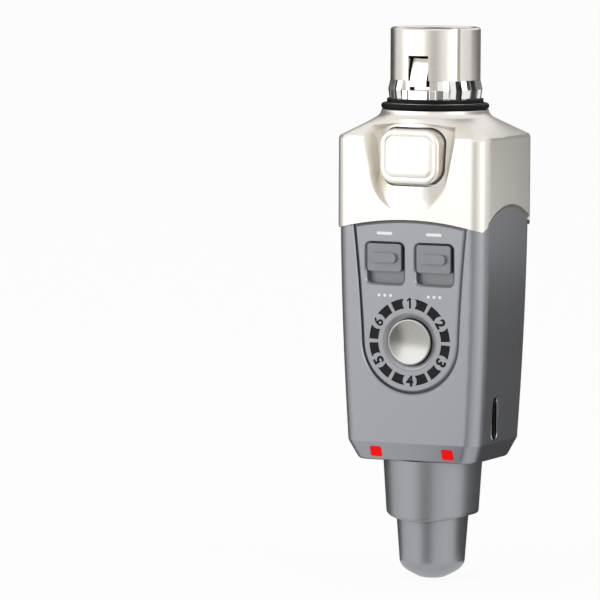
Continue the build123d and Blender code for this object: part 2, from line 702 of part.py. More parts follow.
def tact_switch():
    """Body of the channel switch on the main board."""
    half = TACT_SIDE / 2
    front = BOARD_FRONT - TACT_DEPTH
    body = block((-half, half), (front, BOARD_FRONT), (DIAL_LEVEL - half, DIAL_LEVEL + half))
    floor = front + PLUNGER_ENTRY + CHANNEL_TRAVEL + STOP
    return body - rod_y(PLUNGER_R + STOP, 0, DIAL_LEVEL, (front - 1, floor))


def slider(x):
    """Switch knob: a ribbed cap at the top of its window, a plate behind the wall, and a post."""
    lift = WINDOW_LIFT + (WINDOW_HEIGHT - CAP_HEIGHT) / 2 - STOP
    back = -WALL - STOP
    cap = on_panel(RectangleRounded(CAP_WIDTH, CAP_HEIGHT, WINDOW_CORNER * 0.6), CAP_PROUD, back, x, lift)
    rib = on_panel(RectangleRounded(RIB_WIDTH, RIB_HEIGHT, RIB_HEIGHT * 0.4), RIB_PROUD, 0, x, lift)
    width = WINDOW_WIDTH + 2 * SLIDER_LIP
    top = WINDOW_LIFT + WINDOW_HEIGHT / 2 + SLIDER_LIP
    foot = WINDOW_LIFT - WINDOW_HEIGHT / 2 - SLIDER_LIP
    plate = on_panel(Rectangle(width, top - foot), back, back - SLIDER_PLATE, x, (top + foot) / 2)
    level = DIAL_LEVEL + lift * math.cos(TILT)
    start = -half_depth(level) + WALL + STOP + SLIDER_PLATE / 2
    end = BOARD_FRONT - SWITCH_DEPTH + POST_ENTRY
    post = block((x - POST_WIDTH / 2, x + POST_WIDTH / 2), (start, end),
                 (level - POST_HEIGHT / 2, level + POST_HEIGHT / 2))
    return cap + rib + plate + post


def slide_switch(x):
    """Body of a slide switch on the main board, slotted for the knob's post."""
    lift = WINDOW_LIFT + (WINDOW_HEIGHT - CAP_HEIGHT) / 2 - STOP
    rest = DIAL_LEVEL + lift * math.cos(TILT)
    middle = rest - SLIDER_TRAVEL / 2
    front = BOARD_FRONT - SWITCH_DEPTH
    body = block((x - SWITCH_WIDTH / 2, x + SWITCH_WIDTH / 2), (front, BOARD_FRONT),
                 (middle - SWITCH_HEIGHT / 2, middle + SWITCH_HEIGHT / 2))
    high = rest + POST_HEIGHT / 2 + AROUND
    low = rest - SLIDER_TRAVEL - POST_HEIGHT / 2 - AROUND
    wide = POST_WIDTH / 2 + AROUND
    return body - block((x - wide, x + wide), (front - 1, front + POST_ENTRY + AROUND), (low, high))


# ---------------------------------------------------------------- inside

def board_screw_places():
    x = BOARD_WIDTH / 2 - BOARD_SCREW_INSET
    for level in (DIAL_LEVEL + BOARD_SCREW_UP, DIAL_LEVEL - BOARD_SCREW_DOWN):
        yield -x, level
        yield x, level


def main_board():
    """Main circuit board behind the panel, narrower between the status lenses."""
    half = BOARD_WIDTH / 2
    tail = BOARD_TAIL_WIDTH / 2
    board = block((-half, half), (BOARD_FRONT, BOARD_BACK), (BOARD_TAIL_TOP, BOARD_TOP))
    board += block((-tail, tail), (BOARD_FRONT, BOARD_BACK), (BOARD_BOTTOM, BOARD_TAIL_TOP))
    board -= block((-BOARD_FORK, BOARD_FORK), (-FAR, FAR), (BOARD_BOTTOM - 1, BOARD_TAIL_TOP - 1.5))
    for x, level in board_screw_places():
        board -= rod_y(SCREW_R + STOP, x, level, (-FAR, 0))
    return board


def board_screws():
    """Screws that hold the main board to the frame."""
    for x, level in board_screw_places():
        head = rod_y(SCREW_HEAD_R, x, level, (BOARD_FRONT - SCREW_HEAD, BOARD_FRONT))
        yield head + rod_y(SCREW_R, x, level, (BOARD_FRONT, BOARD_BACK + SCREW_BITE))


def rear_screws():
    """Countersunk screws from the back through the housings into the frame."""
    for level in REAR_SCREW_LEVELS:
        face = TOP_DEPTH / 2 if level > BODY_TOP else half_depth(level)
        for x in (-REAR_SCREW_X, REAR_SCREW_X):
            head = rod_y(SCREW_HEAD_R, x, level, (face - HEAD_SEAT, face - HEAD_SINK))
            yield head + rod_y(SCREW_R, x, level, (face - REAR_SCREW_LENGTH, face - HEAD_SEAT))


def rear_boss(x, level):
    """Boss that runs from the frame to the back wall and takes a rear screw."""
    face = TOP_DEPTH / 2 if level > BODY_TOP else half_depth(level)
    end = face - WALL - 2 * STOP
    boss = rod_y(REAR_BOSS_R, x, level, (FRAME_BACK - OVERLAP, end))
    return boss - rod_y(SCREW_R + SEAT, x, level, (end - BOSS_DRILL, FAR))


def inner_frame():
    """Chassis plate between board and battery, with the tower that carries latch and audio board."""
    half = FRAME_WIDTH / 2
    frame = block((-half, half), (FRAME_FRONT, FRAME_BACK), (FRAME_BOTTOM, PLATE_TOP))
    tower = TOWER_WIDTH / 2
    frame += block((-tower, tower), (TOWER_FRONT, FRAME_BACK), (TOWER_FOOT, FRAME_TOP))
    for side in (-1, 1):
        near, far = side * EAR_INNER, side * (EAR_INNER + EAR_THICK)
        frame += block((near, far), (PIN_Y - HUB_R, TOWER_FRONT), (PIN_LEVEL - HUB_R, PIN_LEVEL + HUB_R))
    frame -= rod_x(PIN_R, PIN_Y, PIN_LEVEL, FAR)
    for x, level in board_screw_places():
        boss = rod_y(BOSS_R, x, level, (BOARD_BACK, FRAME_FRONT + OVERLAP))
        frame += boss - rod_y(SCREW_R, x, level, (BOARD_BACK - 1, BOARD_BACK + SCREW_BITE + AROUND))
    for level in REAR_SCREW_LEVELS:
        for x in (-REAR_SCREW_X, REAR_SCREW_X):
            frame += rear_boss(x, level)
    wide = ANTENNA_WIDTH / 2 + SEAT
    near, far = ANTENNA_Y - ANTENNA_THICK / 2 - SEAT, ANTENNA_Y + ANTENNA_THICK / 2 + SEAT
    frame -= block((-wide, wide), (near, far), (BASE_BOTTOM, ANTENNA_TOP + SEAT))
    return frame


def audio_board():
    """Round board that the contacts are soldered to, cut away in front for the latch."""
    board = disc(AUDIO_BOARD_R, ROOF - SEAT, ROOF - AUDIO_BOARD_THICK)
    board -= block((-FAR, FAR), (-FAR, AUDIO_BOARD_FRONT), (-FAR, 0))
    board -= block((-AUDIO_NOTCH, AUDIO_NOTCH), (-FAR, AUDIO_NOTCH_EDGE), (-FAR, 0))
    for x, y in contact_places():
        board -= Pos(x, y, 0) * disc(CONTACT_TAIL_R + SEAT, 0, -FAR)
    return board


def board_link():
    """Pin header that joins the audio board to the main board, with four long pins."""
    top = ROOF - AUDIO_BOARD_THICK
    half = LINK_PINS * LINK_PITCH / 2 + LINK_PIN
    rail = block((-half, half), (FRAME_BACK, FRAME_BACK + LINK_DEPTH), (top - LINK_HEIGHT, top - SEAT))
    middle = FRAME_BACK + LINK_DEPTH / 2
    for pin in range(LINK_PINS):
        x = (pin - (LINK_PINS - 1) / 2) * LINK_PITCH
        rail += block((x - LINK_PIN / 2, x + LINK_PIN / 2), (middle - LINK_PIN / 2, middle + LINK_PIN / 2),
                      (BOARD_TOP, top - LINK_HEIGHT))
    return rail


def on_board(width, height, depth, x, level):
    """A part of a given outline and depth on the back of the main board."""
    return block((x - width / 2, x + width / 2), (BOARD_BACK, BOARD_BACK + depth),
                 (level - height / 2, level + height / 2))


def rf_shield():
    """Thin can over the radio chip on the back of the main board."""
    width, height, depth = SHIELD_SIZE
    skin = SHIELD_SKIN
    outer = on_board(width, height, depth, RADIO_X, RADIO_LEVEL)
    inner = on_board(width - 2 * skin, height - 2 * skin, depth - skin, RADIO_X, RADIO_LEVEL)
    return outer - inner


def radio_chip():
    side, depth = RADIO_CHIP
    return on_board(side, side, depth, RADIO_X, RADIO_LEVEL)


def board_chips():
    """Converter, charger and amplifier chips on the back of the main board."""
    for x, lift, width, height in CHIPS:
        yield on_board(width, height, CHIP_DEPTH, x, DIAL_LEVEL + lift)


def channel_leds():
    """Six lamps under the dial, one for each channel."""
    ring = (SEGMENT_IN + SEGMENT_OUT) / 2
    half = LED_SIZE / 2
    for channel in range(CHANNELS):
        turn = math.radians(90 - 360 * channel / CHANNELS)
        x, level = ring * math.cos(turn), DIAL_LEVEL + ring * math.sin(turn)
        yield block((x - half, x + half), (BOARD_FRONT - LED_DEPTH, BOARD_FRONT),
                    (level - half, level + half))


def charge_socket():
    """Shell of the charging socket, lying on the board's back, its mouth flush with the side."""
    end = half_width(SOCKET_LEVEL) - 0.05
    outer = Plane.YZ * Pos(SOCKET_Y, SOCKET_LEVEL) * Rot(0, 0, 90) * SlotOverall(SOCKET_LENGTH, SOCKET_HEIGHT)
    inner = Plane.YZ * Pos(SOCKET_Y, SOCKET_LEVEL) * Rot(0, 0, 90) * SlotOverall(
        SOCKET_LENGTH - 2 * SOCKET_SHELL, SOCKET_HEIGHT - 2 * SOCKET_SHELL)
    shell = Pos(end - SOCKET_REACH, 0, 0) * extrude(outer, SOCKET_REACH)
    return shell - Pos(end - SOCKET_REACH + SOCKET_BACK, 0, 0) * extrude(inner, SOCKET_REACH)


def charge_tongue():
    """Contact blade inside the charging socket."""
    end = half_width(SOCKET_LEVEL)
    half = SOCKET_LENGTH / 2 - 4 * SOCKET_SHELL
    thin = TONGUE_PLATE / 2
    return block((end - SOCKET_REACH + SOCKET_BACK - SEAT, end - 1.0), (SOCKET_Y - thin, SOCKET_Y + thin),
                 (SOCKET_LEVEL - half, SOCKET_LEVEL + half))


def battery():
    """Flat rechargeable cell behind the frame."""
    middle = (BATTERY_TOP + BATTERY_BOTTOM) / 2
    cell = extrude(RectangleRounded(BATTERY_WIDTH, BATTERY_TOP - BATTERY_BOTTOM, 1.2), BATTERY_DEPTH)
    cell = fillet(cell.edges().filter_by(GeomType.LINE).filter_by(Axis.Y), 1.0)
    return Pos(0, FRAME_BACK + STOP, middle) * Rot(-90, 0, 0) * cell


def battery_pad():
    """Foam strip that holds the cell against the frame."""
    near = FRAME_BACK + STOP + BATTERY_DEPTH + STOP
    far = half_depth(BATTERY_BOTTOM + 6) - WALL - 2 * STOP
    return block((-6.0, 6.0), (near, far), (BATTERY_BOTTOM + 6, BATTERY_TOP - 6))


# ---------------------------------------------------------------- base and tail

def base_form(inset, top, bottom):
    """Tapered block under the seam."""
    drop = (SEAM - bottom) / BASE_HEIGHT * BASE_SLOPE
    lift = (SEAM - top) / BASE_HEIGHT * BASE_SLOPE
    width, depth = SEAM_WIDTH - 2 * inset, SEAM_DEPTH - 2 * inset
    corner = CORNER_R - inset
    return loft([
        Pos(0, 0, top) * RectangleRounded(width - 2 * lift, depth - 2 * lift, corner),
        Pos(0, 0, bottom) * RectangleRounded(width - 2 * drop, depth - 2 * drop, corner),
    ], ruled=True)


def status_outline(grow):
    return RectangleRounded(STATUS_WIDTH + 2 * grow, STATUS_HEIGHT + 2 * grow, STATUS_CORNER)


def status_block(x, grow, near, far):
    sketch = Plane.XZ * Pos(x, STATUS_LEVEL) * status_outline(grow)
    return Pos(0, far, 0) * extrude(sketch, far - near)


def base_cap():
    """End cap under the seam: spigot into the body, lens holes in front, seat of the tail."""
    cap = base_form(0, SEAM, BASE_BOTTOM)
    rim = cap.faces().sort_by(Axis.Z)[0].edges()
    cap = fillet(rim, BASE_EDGE)
    gap = WALL + SEAT
    inner = gap + SPIGOT_WALL
    cap += body_blank(gap, SEAM + SPIGOT, SEAM)
    cap -= body_blank(inner, SEAM + SPIGOT + 1, SEAM)
    well = inner + SEAT
    cap -= rounded_box(SEAM_WIDTH - 2 * well, SEAM_DEPTH - 2 * well, CORNER_R - well,
                       SEAM + SPIGOT / 2, BASE_BOTTOM + BASE_FLOOR)
    cap -= disc(TAIL_TOP_R + SEAT, 0, -FAR * 3)
    for x in (-STATUS_X, STATUS_X):
        cap -= status_block(x, SEAT, -FAR, -4.0)
    socket = charge_socket_room()
    return cap - socket


def charge_socket_room():
    """Room that the charging socket's lower end needs in the spigot."""
    half = SOCKET_HEIGHT / 2 + AROUND
    foot = SOCKET_LEVEL - SOCKET_LENGTH / 2 - AROUND
    return block((5.0, FAR), (SOCKET_Y - half, SOCKET_Y + half), (foot, SEAM + SPIGOT + 1))


def status_lenses():
    """Two red lenses from the front of the base to the lamps on the board."""
    for x in (-STATUS_X, STATUS_X):
        lens = status_block(x, 0, -FAR, BOARD_FRONT - LED_DEPTH - STOP)
        yield lens & base_form(0, SEAM, BASE_BOTTOM)


def status_leds():
    half = LED_SIZE / 2
    for x in (-STATUS_X, STATUS_X):
        yield block((x - half, x + half), (BOARD_FRONT - LED_DEPTH, BOARD_FRONT),
                    (BOARD_BOTTOM + 0.1, BOARD_BOTTOM + 0.1 + LED_SIZE))


def tail_sleeve():
    """Collar round the root of the tail, with a lower edge that waves and is rounded."""
    bottom = BASE_BOTTOM - SLEEVE_LENGTH
    sleeve = turned((TAIL_TOP_R + SEAT, BASE_BOTTOM), (SLEEVE_TOP_R, BASE_BOTTOM), (SLEEVE_R, bottom),
                    (TAIL_TOP_R + SEAT, bottom))
    radius = (SLEEVE_R ** 2 + SLEEVE_WAVE ** 2) / (2 * SLEEVE_WAVE)
    foot = bottom + radius - math.sqrt(radius ** 2 - (SLEEVE_R + 2) ** 2)
    wave = ThreePointArc((-SLEEVE_R - 2, foot), (0, bottom), (SLEEVE_R + 2, foot))
    legs = Polyline(wave @ 1, (SLEEVE_R + 2, bottom - 5), (-SLEEVE_R - 2, bottom - 5), wave @ 0)
    sleeve -= extrude(Plane.XZ * make_face([wave, legs]), FAR, both=True)
    rim = [e for e in sleeve.edges() if e.bounding_box().size.X > 2 * TAIL_TOP_R + 1.5
           and e.center().Z < BASE_BOTTOM - SLEEVE_LENGTH / 2]
    return fillet(rim, 0.7)


def tail_cap():
    """Hollow antenna tail with a domed end and a flange on the base's floor."""
    floor = BASE_BOTTOM + BASE_FLOOR
    dome = TAIL_END + TAIL_DOME
    root = TAIL_TOP_R
    flange = root + TAIL_FLANGE
    inner = TAIL_R - TAIL_WALL
    turns = [math.radians(angle) for angle in (0, 30, 60, 90)]
    rounded = [(TAIL_R * math.cos(turn), dome - TAIL_DOME * math.sin(turn)) for turn in turns]
    outside = [
        Polyline((0, floor + TAIL_FLANGE), (flange, floor + TAIL_FLANGE), (flange, floor), (root, floor),
                 (root, BASE_BOTTOM - SLEEVE_LENGTH + 1.5), (TAIL_R, dome)),
        Spline(*rounded, tangents=[(0, -1), (-1, 0)]),
        Line((0, TAIL_END), (0, floor + TAIL_FLANGE)),
    ]
    cap = revolve(Plane.XZ * make_face(outside), Axis.Z)
    return cap - disc(inner, 0, dome)


def antenna_board():
    """Narrow antenna board from the frame's foot into the tail."""
    half = ANTENNA_WIDTH / 2
    near, far = ANTENNA_Y - ANTENNA_THICK / 2, ANTENNA_Y + ANTENNA_THICK / 2
    return block((-half, half), (near, far), (ANTENNA_BOTTOM, ANTENNA_TOP))


def save(name, *shapes):
    """Writes one piece, or one group of like pieces, to its own file."""
    solids = [solid for shape in shapes for solid in shape.solids()]
    whole = solids[0] if len(solids) == 1 else Compound(children=solids)
    export_step(whole, "parts/" + name + ".step")


def main():
    os.makedirs("parts", exist_ok=True)
    save("nose_shell", nose_shell())
    save("nose_insert", nose_insert())
    for number, (x, y) in enumerate(contact_places(), start=1):
        save("contact_%d" % number, contact(x, y))
    save("ground_ring", ground_ring())
    save("seal_disc", tube(DISC_R, SHANK_R + SEAT, RING_BOTTOM, DISC_BOTTOM))
    save("seal_ring", seal_ring())
    save("nose_nut", nose_nut())
    save("upper_housing", upper_housing())
    save("latch_button", latch_button())
    save("latch_lever", latch_lever())
    save("latch_pin", rod_x(PIN_R, PIN_Y, PIN_LEVEL, PIN_LENGTH / 2))
    save("latch_spring", latch_spring())
    save("lower_housing", lower_housing())
    save("control_panel", control_panel())
    save("channel_lens", channel_lens())
    save("button_bezel", button_bezel())
    save("channel_button", channel_button())
    save("button_plunger", button_plunger())
    save("tact_switch", tact_switch())
    for side, x in zip(("left", "right"), window_places()):
        save("slider_" + side, slider(x))
        save("slide_switch_" + side, slide_switch(x))
    save("main_board", main_board())
    save("board_screws", *board_screws())
    save("rear_screws", *rear_screws())
    save("inner_frame", inner_frame())
    save("audio_board", audio_board())
    save("board_link", board_link())
    save("rf_shield", rf_shield())
    save("radio_chip", radio_chip())
    save("board_chips", *board_chips())
    save("channel_leds", *channel_leds())
    save("charge_socket", charge_socket())
    save("charge_tongue", charge_tongue())
    save("battery", battery())
    save("battery_pad", battery_pad())
    save("base_cap", base_cap())
    save("status_lenses", *status_lenses())
    save("status_leds", *status_leds())
    save("tail_sleeve", tail_sleeve())
    save("tail_cap", tail_cap())
    save("antenna_board", antenna_board())


main()
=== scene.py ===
"""A plug-on wireless transmitter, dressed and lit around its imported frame."""
import json
import math

import bpy
from mathutils import Matrix, Vector


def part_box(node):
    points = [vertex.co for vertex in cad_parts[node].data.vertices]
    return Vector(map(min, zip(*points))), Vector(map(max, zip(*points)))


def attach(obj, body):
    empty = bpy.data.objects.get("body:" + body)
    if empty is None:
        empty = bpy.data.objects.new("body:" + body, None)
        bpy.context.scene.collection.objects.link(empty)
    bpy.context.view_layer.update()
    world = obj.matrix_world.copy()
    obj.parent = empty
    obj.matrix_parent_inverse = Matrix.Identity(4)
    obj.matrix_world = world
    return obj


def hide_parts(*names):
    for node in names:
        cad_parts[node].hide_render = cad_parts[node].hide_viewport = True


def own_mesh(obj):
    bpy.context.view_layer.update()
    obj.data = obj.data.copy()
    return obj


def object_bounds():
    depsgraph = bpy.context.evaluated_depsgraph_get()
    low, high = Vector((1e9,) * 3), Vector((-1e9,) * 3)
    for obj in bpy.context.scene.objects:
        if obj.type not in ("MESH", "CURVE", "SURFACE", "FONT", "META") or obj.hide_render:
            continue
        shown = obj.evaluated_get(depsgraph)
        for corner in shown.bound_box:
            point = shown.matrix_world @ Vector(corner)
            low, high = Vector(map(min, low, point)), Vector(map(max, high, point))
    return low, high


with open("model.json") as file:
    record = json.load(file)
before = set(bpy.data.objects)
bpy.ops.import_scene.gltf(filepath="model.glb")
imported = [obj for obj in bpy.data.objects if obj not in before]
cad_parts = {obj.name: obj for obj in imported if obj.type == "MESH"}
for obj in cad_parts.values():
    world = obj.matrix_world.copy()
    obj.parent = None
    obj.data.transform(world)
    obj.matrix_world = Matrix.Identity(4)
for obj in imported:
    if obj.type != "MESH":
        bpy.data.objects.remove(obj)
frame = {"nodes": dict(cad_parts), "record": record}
NODES = frame["nodes"]
FRAME_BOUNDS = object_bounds()

bl_info = {
    "name": "Plug-on Transmitter",
    "version": (1, 0, 0),
    "blender": (4, 5, 0),
    "location": "View3D > Sidebar > Transmitter",
    "description": "Finishes and finely modelled pieces for a plug-on wireless transmitter",
    "category": "Object",
}

MM = 0.001
TURN = 2 * math.pi
MERGE_DISTANCE = 0.001 * MM
SHARP = math.radians(30)

# The front panel leans back a little; its face is the plane through PANEL_ORIGIN.
PANEL_ORIGIN = Vector((0, -10.862, -55.15)) * MM
PANEL_TILT = math.atan(1.08 / 42.2)
PANEL_UP = Vector((0, -math.sin(PANEL_TILT), math.cos(PANEL_TILT)))
PANEL_OUT = Vector((0, -math.cos(PANEL_TILT), -math.sin(PANEL_TILT)))
PANEL_ACROSS = Vector((1, 0, 0))

# The ring's fingers fold at this height above its foot, and the strap is as high. The strap
# and its two lugs take up the places of three fingers.
RING_RIDGE = 1.68 * MM
STRAP_PLACES = 3

# Places on the panel, across and up from the middle of the channel button.
SWITCH_PLACES = (-4.72 * MM, 4.72 * MM)
WINDOW_UP = 13.81 * MM

BODY_OF_NODE = {
    node: body
    for body, nodes in frame["record"]["behaviour"]["bodies"].items()
    for node in nodes
}


# ---------------------------------------------------------------- settings


class TransmitterSizes(bpy.types.PropertyGroup):
    """Sizes that a user may change before the pieces are made."""

    finger_count: bpy.props.IntProperty(
        name="Ring fingers",
        description="Places for spring fingers round the ground ring",
        default=22,
        min=12,
        max=40,
    )
    finger_gap: bpy.props.FloatProperty(
        name="Finger gap",
        description="Width of the slot between two fingers of the ground ring",
        default=0.34 * MM,
        unit="LENGTH",
    )
    numeral_height: bpy.props.FloatProperty(
        name="Numeral height",
        description="Height of the numbers printed round the channel button",
        default=1.85 * MM,
        unit="LENGTH",
    )
    numeral_radius: bpy.props.FloatProperty(
        name="Numeral radius",
        description="Distance from the middle of the channel button to the numbers",
        default=6.885 * MM,
        unit="LENGTH",
    )
    print_thickness: bpy.props.FloatProperty(
        name="Print thickness",
        description="Thickness of the printed marks and numbers",
        default=0.03 * MM,
        unit="LENGTH",
    )
    cushion_rise: bpy.props.FloatProperty(
        name="Cushion rise",
        description="Height of the raised inner face of the latch button",
        default=0.22 * MM,
        unit="LENGTH",
    )


class TransmitterColours(bpy.types.PropertyGroup):
    """Colours that a user may change before the pieces are made."""

    nickel: bpy.props.FloatVectorProperty(
        name="Nickel",
        description="Warm satin nickel of the plug nose",
        subtype="COLOR",
        default=(0.80, 0.755, 0.69),
        min=0,
        max=1,
    )
    champagne: bpy.props.FloatVectorProperty(
        name="Champagne",
        description="Pearl finish of the upper housing",
        subtype="COLOR",
        default=(0.83, 0.797, 0.735),
        min=0,
        max=1,
    )
    grey: bpy.props.FloatVectorProperty(
        name="Grey",
        description="Metallic grey of the lower housing and the panel",
        subtype="COLOR",
        default=(0.335, 0.342, 0.365),
        min=0,
        max=1,
    )
    lens_red: bpy.props.FloatVectorProperty(
        name="Status lens",
        description="Red of the two status lenses",
        subtype="COLOR",
        default=(0.62, 0.0, 0.0),
        min=0,
        max=1,
    )


# ---------------------------------------------------------------- shader maths


class Value:
    """A socket that can be used in a Python expression; each operator adds a Math node."""

    def __init__(self, nodes, socket):
        self.nodes = nodes
        self.socket = socket

    def _maths(self, operation, first, second):
        return self.nodes.add("ShaderNodeMath", {"operation": operation}, {0: first, 1: second})

    def __add__(self, other):
        return self._maths("ADD", self, other)

    def __radd__(self, other):
        return self._maths("ADD", other, self)

    def __mul__(self, other):
        return self._maths("MULTIPLY", self, other)

    def __rmul__(self, other):
        return self._maths("MULTIPLY", other, self)


class Nodes:
    """One node tree, and the single way in which nodes are added to it."""

    def __init__(self, tree):
        self.tree = tree
        tree.nodes.clear()

    def add(self, kind, settings, inputs, output=0):
        """Adds a node: its settings first, then the values or links of its sockets."""
        made = self.tree.nodes.new(kind)
        for name, setting in settings.items():
            if name == "stops":
                set_stops(made.color_ramp, setting)
            else:
                setattr(made, name, setting)
        for name, given in inputs.items():
            if isinstance(given, Value):
                self.tree.links.new(given.socket, made.inputs[name])
            else:
                made.inputs[name].default_value = given
        if not len(made.outputs):
            return None
        return Value(self, made.outputs[output])

    def place(self, scale=(1, 1, 1), turn=(0, 0, 0)):
        """Object coordinates, scaled and turned."""
        where = self.add("ShaderNodeTexCoord", {}, {}, "Object")
        return self.add("ShaderNodeMapping", {}, {"Vector": where, "Scale": scale, "Rotation": turn})

    def noise(self, size, detail=3.0, stretch=(1, 1, 1)):
        """Noise whose lumps are about `size` metres across."""
        where = self.place(stretch)
        return self.add("ShaderNodeTexNoise", {}, {"Vector": where, "Scale": 1 / size, "Detail": detail})

    def cells(self, size, output=0):
        """Cells about `size` metres across."""
        where = self.place()
        return self.add("ShaderNodeTexVoronoi", {}, {"Vector": where, "Scale": 1 / size}, output)

    def ramp(self, share, stops):
        """Turns a number into a colour by its stops."""
        return self.add("ShaderNodeValToRGB", {"stops": stops}, {"Fac": share})

    def mix(self, share, first, second):
        """Mixes two colours."""
        return self.add("ShaderNodeMix", {"data_type": "RGBA"}, {0: share, 6: first, 7: second}, 2)

    def bump(self, height, depth, strength=1.0):
        """A normal bent by a height of up to `depth` metres."""
        return self.add("ShaderNodeBump", {}, {"Height": height, "Distance": depth, "Strength": strength})

    def surface(self, **inputs):
        """The shader and the output of a material."""
        named = {name.replace("_", " "): given for name, given in inputs.items()}
        shader = self.add("ShaderNodeBsdfPrincipled", {}, named)
        self.add("ShaderNodeOutputMaterial", {}, {"Surface": shader})


def set_stops(ramp, stops):
    """Gives a colour ramp its stops, as pairs of place and colour."""
    while len(ramp.elements) > 1:
        ramp.elements.remove(ramp.elements[-1])
    ramp.elements[0].position, ramp.elements[0].color = stops[0]
    for position, colour in stops[1:]:
        ramp.elements.new(position).color = colour


def new_material(name):
    """An empty material and its nodes."""
    material = bpy.data.materials.new(name)
    material.use_nodes = True
    return material, Nodes(material.node_tree)


def shade(colour, factor):
    """A colour made darker or lighter, with full alpha."""
    return tuple(min(1.0, c * factor) for c in colour[:3]) + (1.0,)


# ---------------------------------------------------------------- finishes


def satin_nickel(colour):
    """Turned and lightly blasted nickel plate."""
    material, nodes = new_material("satin_nickel")
    cloud = nodes.noise(9 * MM, 2.0)
    turned = nodes.noise(0.5 * MM, 4.0, (0.15, 0.15, 6.0))
    base = nodes.mix(cloud, shade(colour, 0.95), shade(colour, 1.04))
    nodes.surface(
        Base_Color=base,
        Metallic=1.0,
        Roughness=0.22 + turned * 0.10 + cloud * 0.04,
        Normal=nodes.bump(turned, 0.002 * MM, 0.35),
    )
    return material


def bright_plate(name, colour, roughness):
    """Bright plated metal with a faint fine grain."""
    material, nodes = new_material(name)
    cloud = nodes.noise(3 * MM, 3.0)
    fine = nodes.noise(0.12 * MM, 4.0)
    base = nodes.mix(cloud, shade(colour, 0.95), shade(colour, 1.03))
    nodes.surface(
        Base_Color=base,
        Metallic=1.0,
        Roughness=roughness + fine * 0.05 + cloud * 0.03,
        Normal=nodes.bump(fine, 0.001 * MM, 0.3),
    )
    return material


def pearl_paint(name, colour, metallic, roughness, flake, grain):
    """Metal-flake paint: fine flakes, a faint orange-peel and slow drifts of tone."""
    material, nodes = new_material(name)
    cloud = nodes.noise(14 * MM, 2.0)
    speck = nodes.noise(grain, 5.0)
    flakes = nodes.cells(grain * 0.9, "Color")
    peel = nodes.noise(0.9 * MM, 2.0)
    tone = nodes.mix(speck, shade(colour, 1 - flake), shade(colour, 1 + flake))
    drift = nodes.mix(cloud * 0.5, tone, shade(colour, 1.04))
    glint = nodes.add("ShaderNodeRGBToBW", {}, {"Color": flakes})
    base = nodes.mix(glint * 0.35, drift, shade(colour, 1 - flake * 0.6))
    nodes.surface(
        Base_Color=base,
        Metallic=metallic,
        Roughness=roughness + speck * 0.10 + glint * 0.05,
        Normal=nodes.bump(peel * 0.7 + speck * 0.3, 0.004 * MM, 0.25),
    )
    return material


def spun_button(colour):
    """Satin metal of the channel button, with a fine even grain."""
    material, nodes = new_material("spun_button")
    fine = nodes.noise(0.2 * MM, 4.0)
    cloud = nodes.noise(4 * MM, 2.0)
    nodes.surface(
        Base_Color=nodes.mix(cloud, shade(colour, 0.94), shade(colour, 1.05)),
        Metallic=1.0,
        Roughness=0.25 + fine * 0.04,
        Normal=nodes.bump(fine, 0.001 * MM, 0.12),
    )
    return material


def moulded_plastic(name, colour, roughness, gloss=0.5):
    """Moulded plastic with a fine spark-eroded grain."""
    material, nodes = new_material(name)
    fine = nodes.noise(0.25 * MM, 4.0)
    cloud = nodes.noise(6 * MM, 2.0)
    nodes.surface(
        Base_Color=nodes.mix(cloud, shade(colour, 0.85), shade(colour, 1.15)),
        Roughness=roughness + fine * 0.12,
        Specular_IOR_Level=gloss,
        Normal=nodes.bump(fine, 0.008 * MM, 0.35),
    )
    return material


def seal_rubber():
    """Black rubber with a faint bloom."""
    material, nodes = new_material("seal_rubber")
    black = (0.004, 0.004, 0.004, 1)
    bloomed = (0.010, 0.010, 0.011, 1)
    fine = nodes.noise(0.15 * MM, 5.0)
    bloom = nodes.noise(5 * MM, 3.0)
    nodes.surface(
        Base_Color=nodes.mix(bloom, black, bloomed),
        Roughness=0.34 + fine * 0.14 + bloom * 0.06,
        Specular_IOR_Level=0.10,
        Normal=nodes.bump(fine, 0.005 * MM, 0.3),
    )
    return material


def dark_window():
    """Smoked clear plastic, nearly black, with a fine frost."""
    material, nodes = new_material("dark_window")
    clear = (0.010, 0.010, 0.011, 1)
    milky = (0.018, 0.018, 0.020, 1)
    frost = nodes.noise(0.25 * MM, 4.0)
    cloud = nodes.noise(2.5 * MM, 2.0)
    nodes.surface(
        Base_Color=nodes.mix(cloud, clear, milky),
        Roughness=0.36 + frost * 0.12,
        Specular_IOR_Level=0.12,
        Normal=nodes.bump(frost, 0.004 * MM, 0.25),
    )
    return material


def glowing_lens(colour):
    """Red lens whose glow varies a little with its grain."""
    material, nodes = new_material("glowing_lens")
    dim_glow = (0.80, 0.0, 0.0, 1)
    full_glow = (1.0, 0.0, 0.0, 1)
    grain = nodes.noise(0.5 * MM, 3.0)
    base = nodes.mix(grain, shade(colour, 0.8), shade(colour, 1.2))
    nodes.surface(
        Base_Color=base,
        Roughness=0.16 + grain * 0.08,
        Specular_IOR_Level=0.12,
        Emission_Color=nodes.mix(grain, dim_glow, full_glow),
        Emission_Strength=0.4,
        Normal=nodes.bump(grain, 0.01 * MM, 0.25),
    )
    return material


def circuit_board():
    """Green solder mask with the tracks showing as lighter lines."""
    material, nodes = new_material("circuit_board")
    tracks = nodes.add(
        "ShaderNodeTexBrick",
        {"offset": 0.37},
        {
            "Vector": nodes.place((1, 1, 1), (math.pi / 2, 0, 0)),
            "Color1": (0.004, 0.075, 0.030, 1),
            "Color2": (0.003, 0.060, 0.025, 1),
            "Mortar": (0.012, 0.130, 0.055, 1),
            "Scale": 1 / (9 * MM),
            "Mortar Size": 0.03,
        },
    )
    fine = nodes.noise(0.4 * MM)
    nodes.surface(
        Base_Color=tracks,
        Roughness=0.30 + fine * 0.15,
        Normal=nodes.bump(fine, 0.004 * MM, 0.3),
    )
    return material


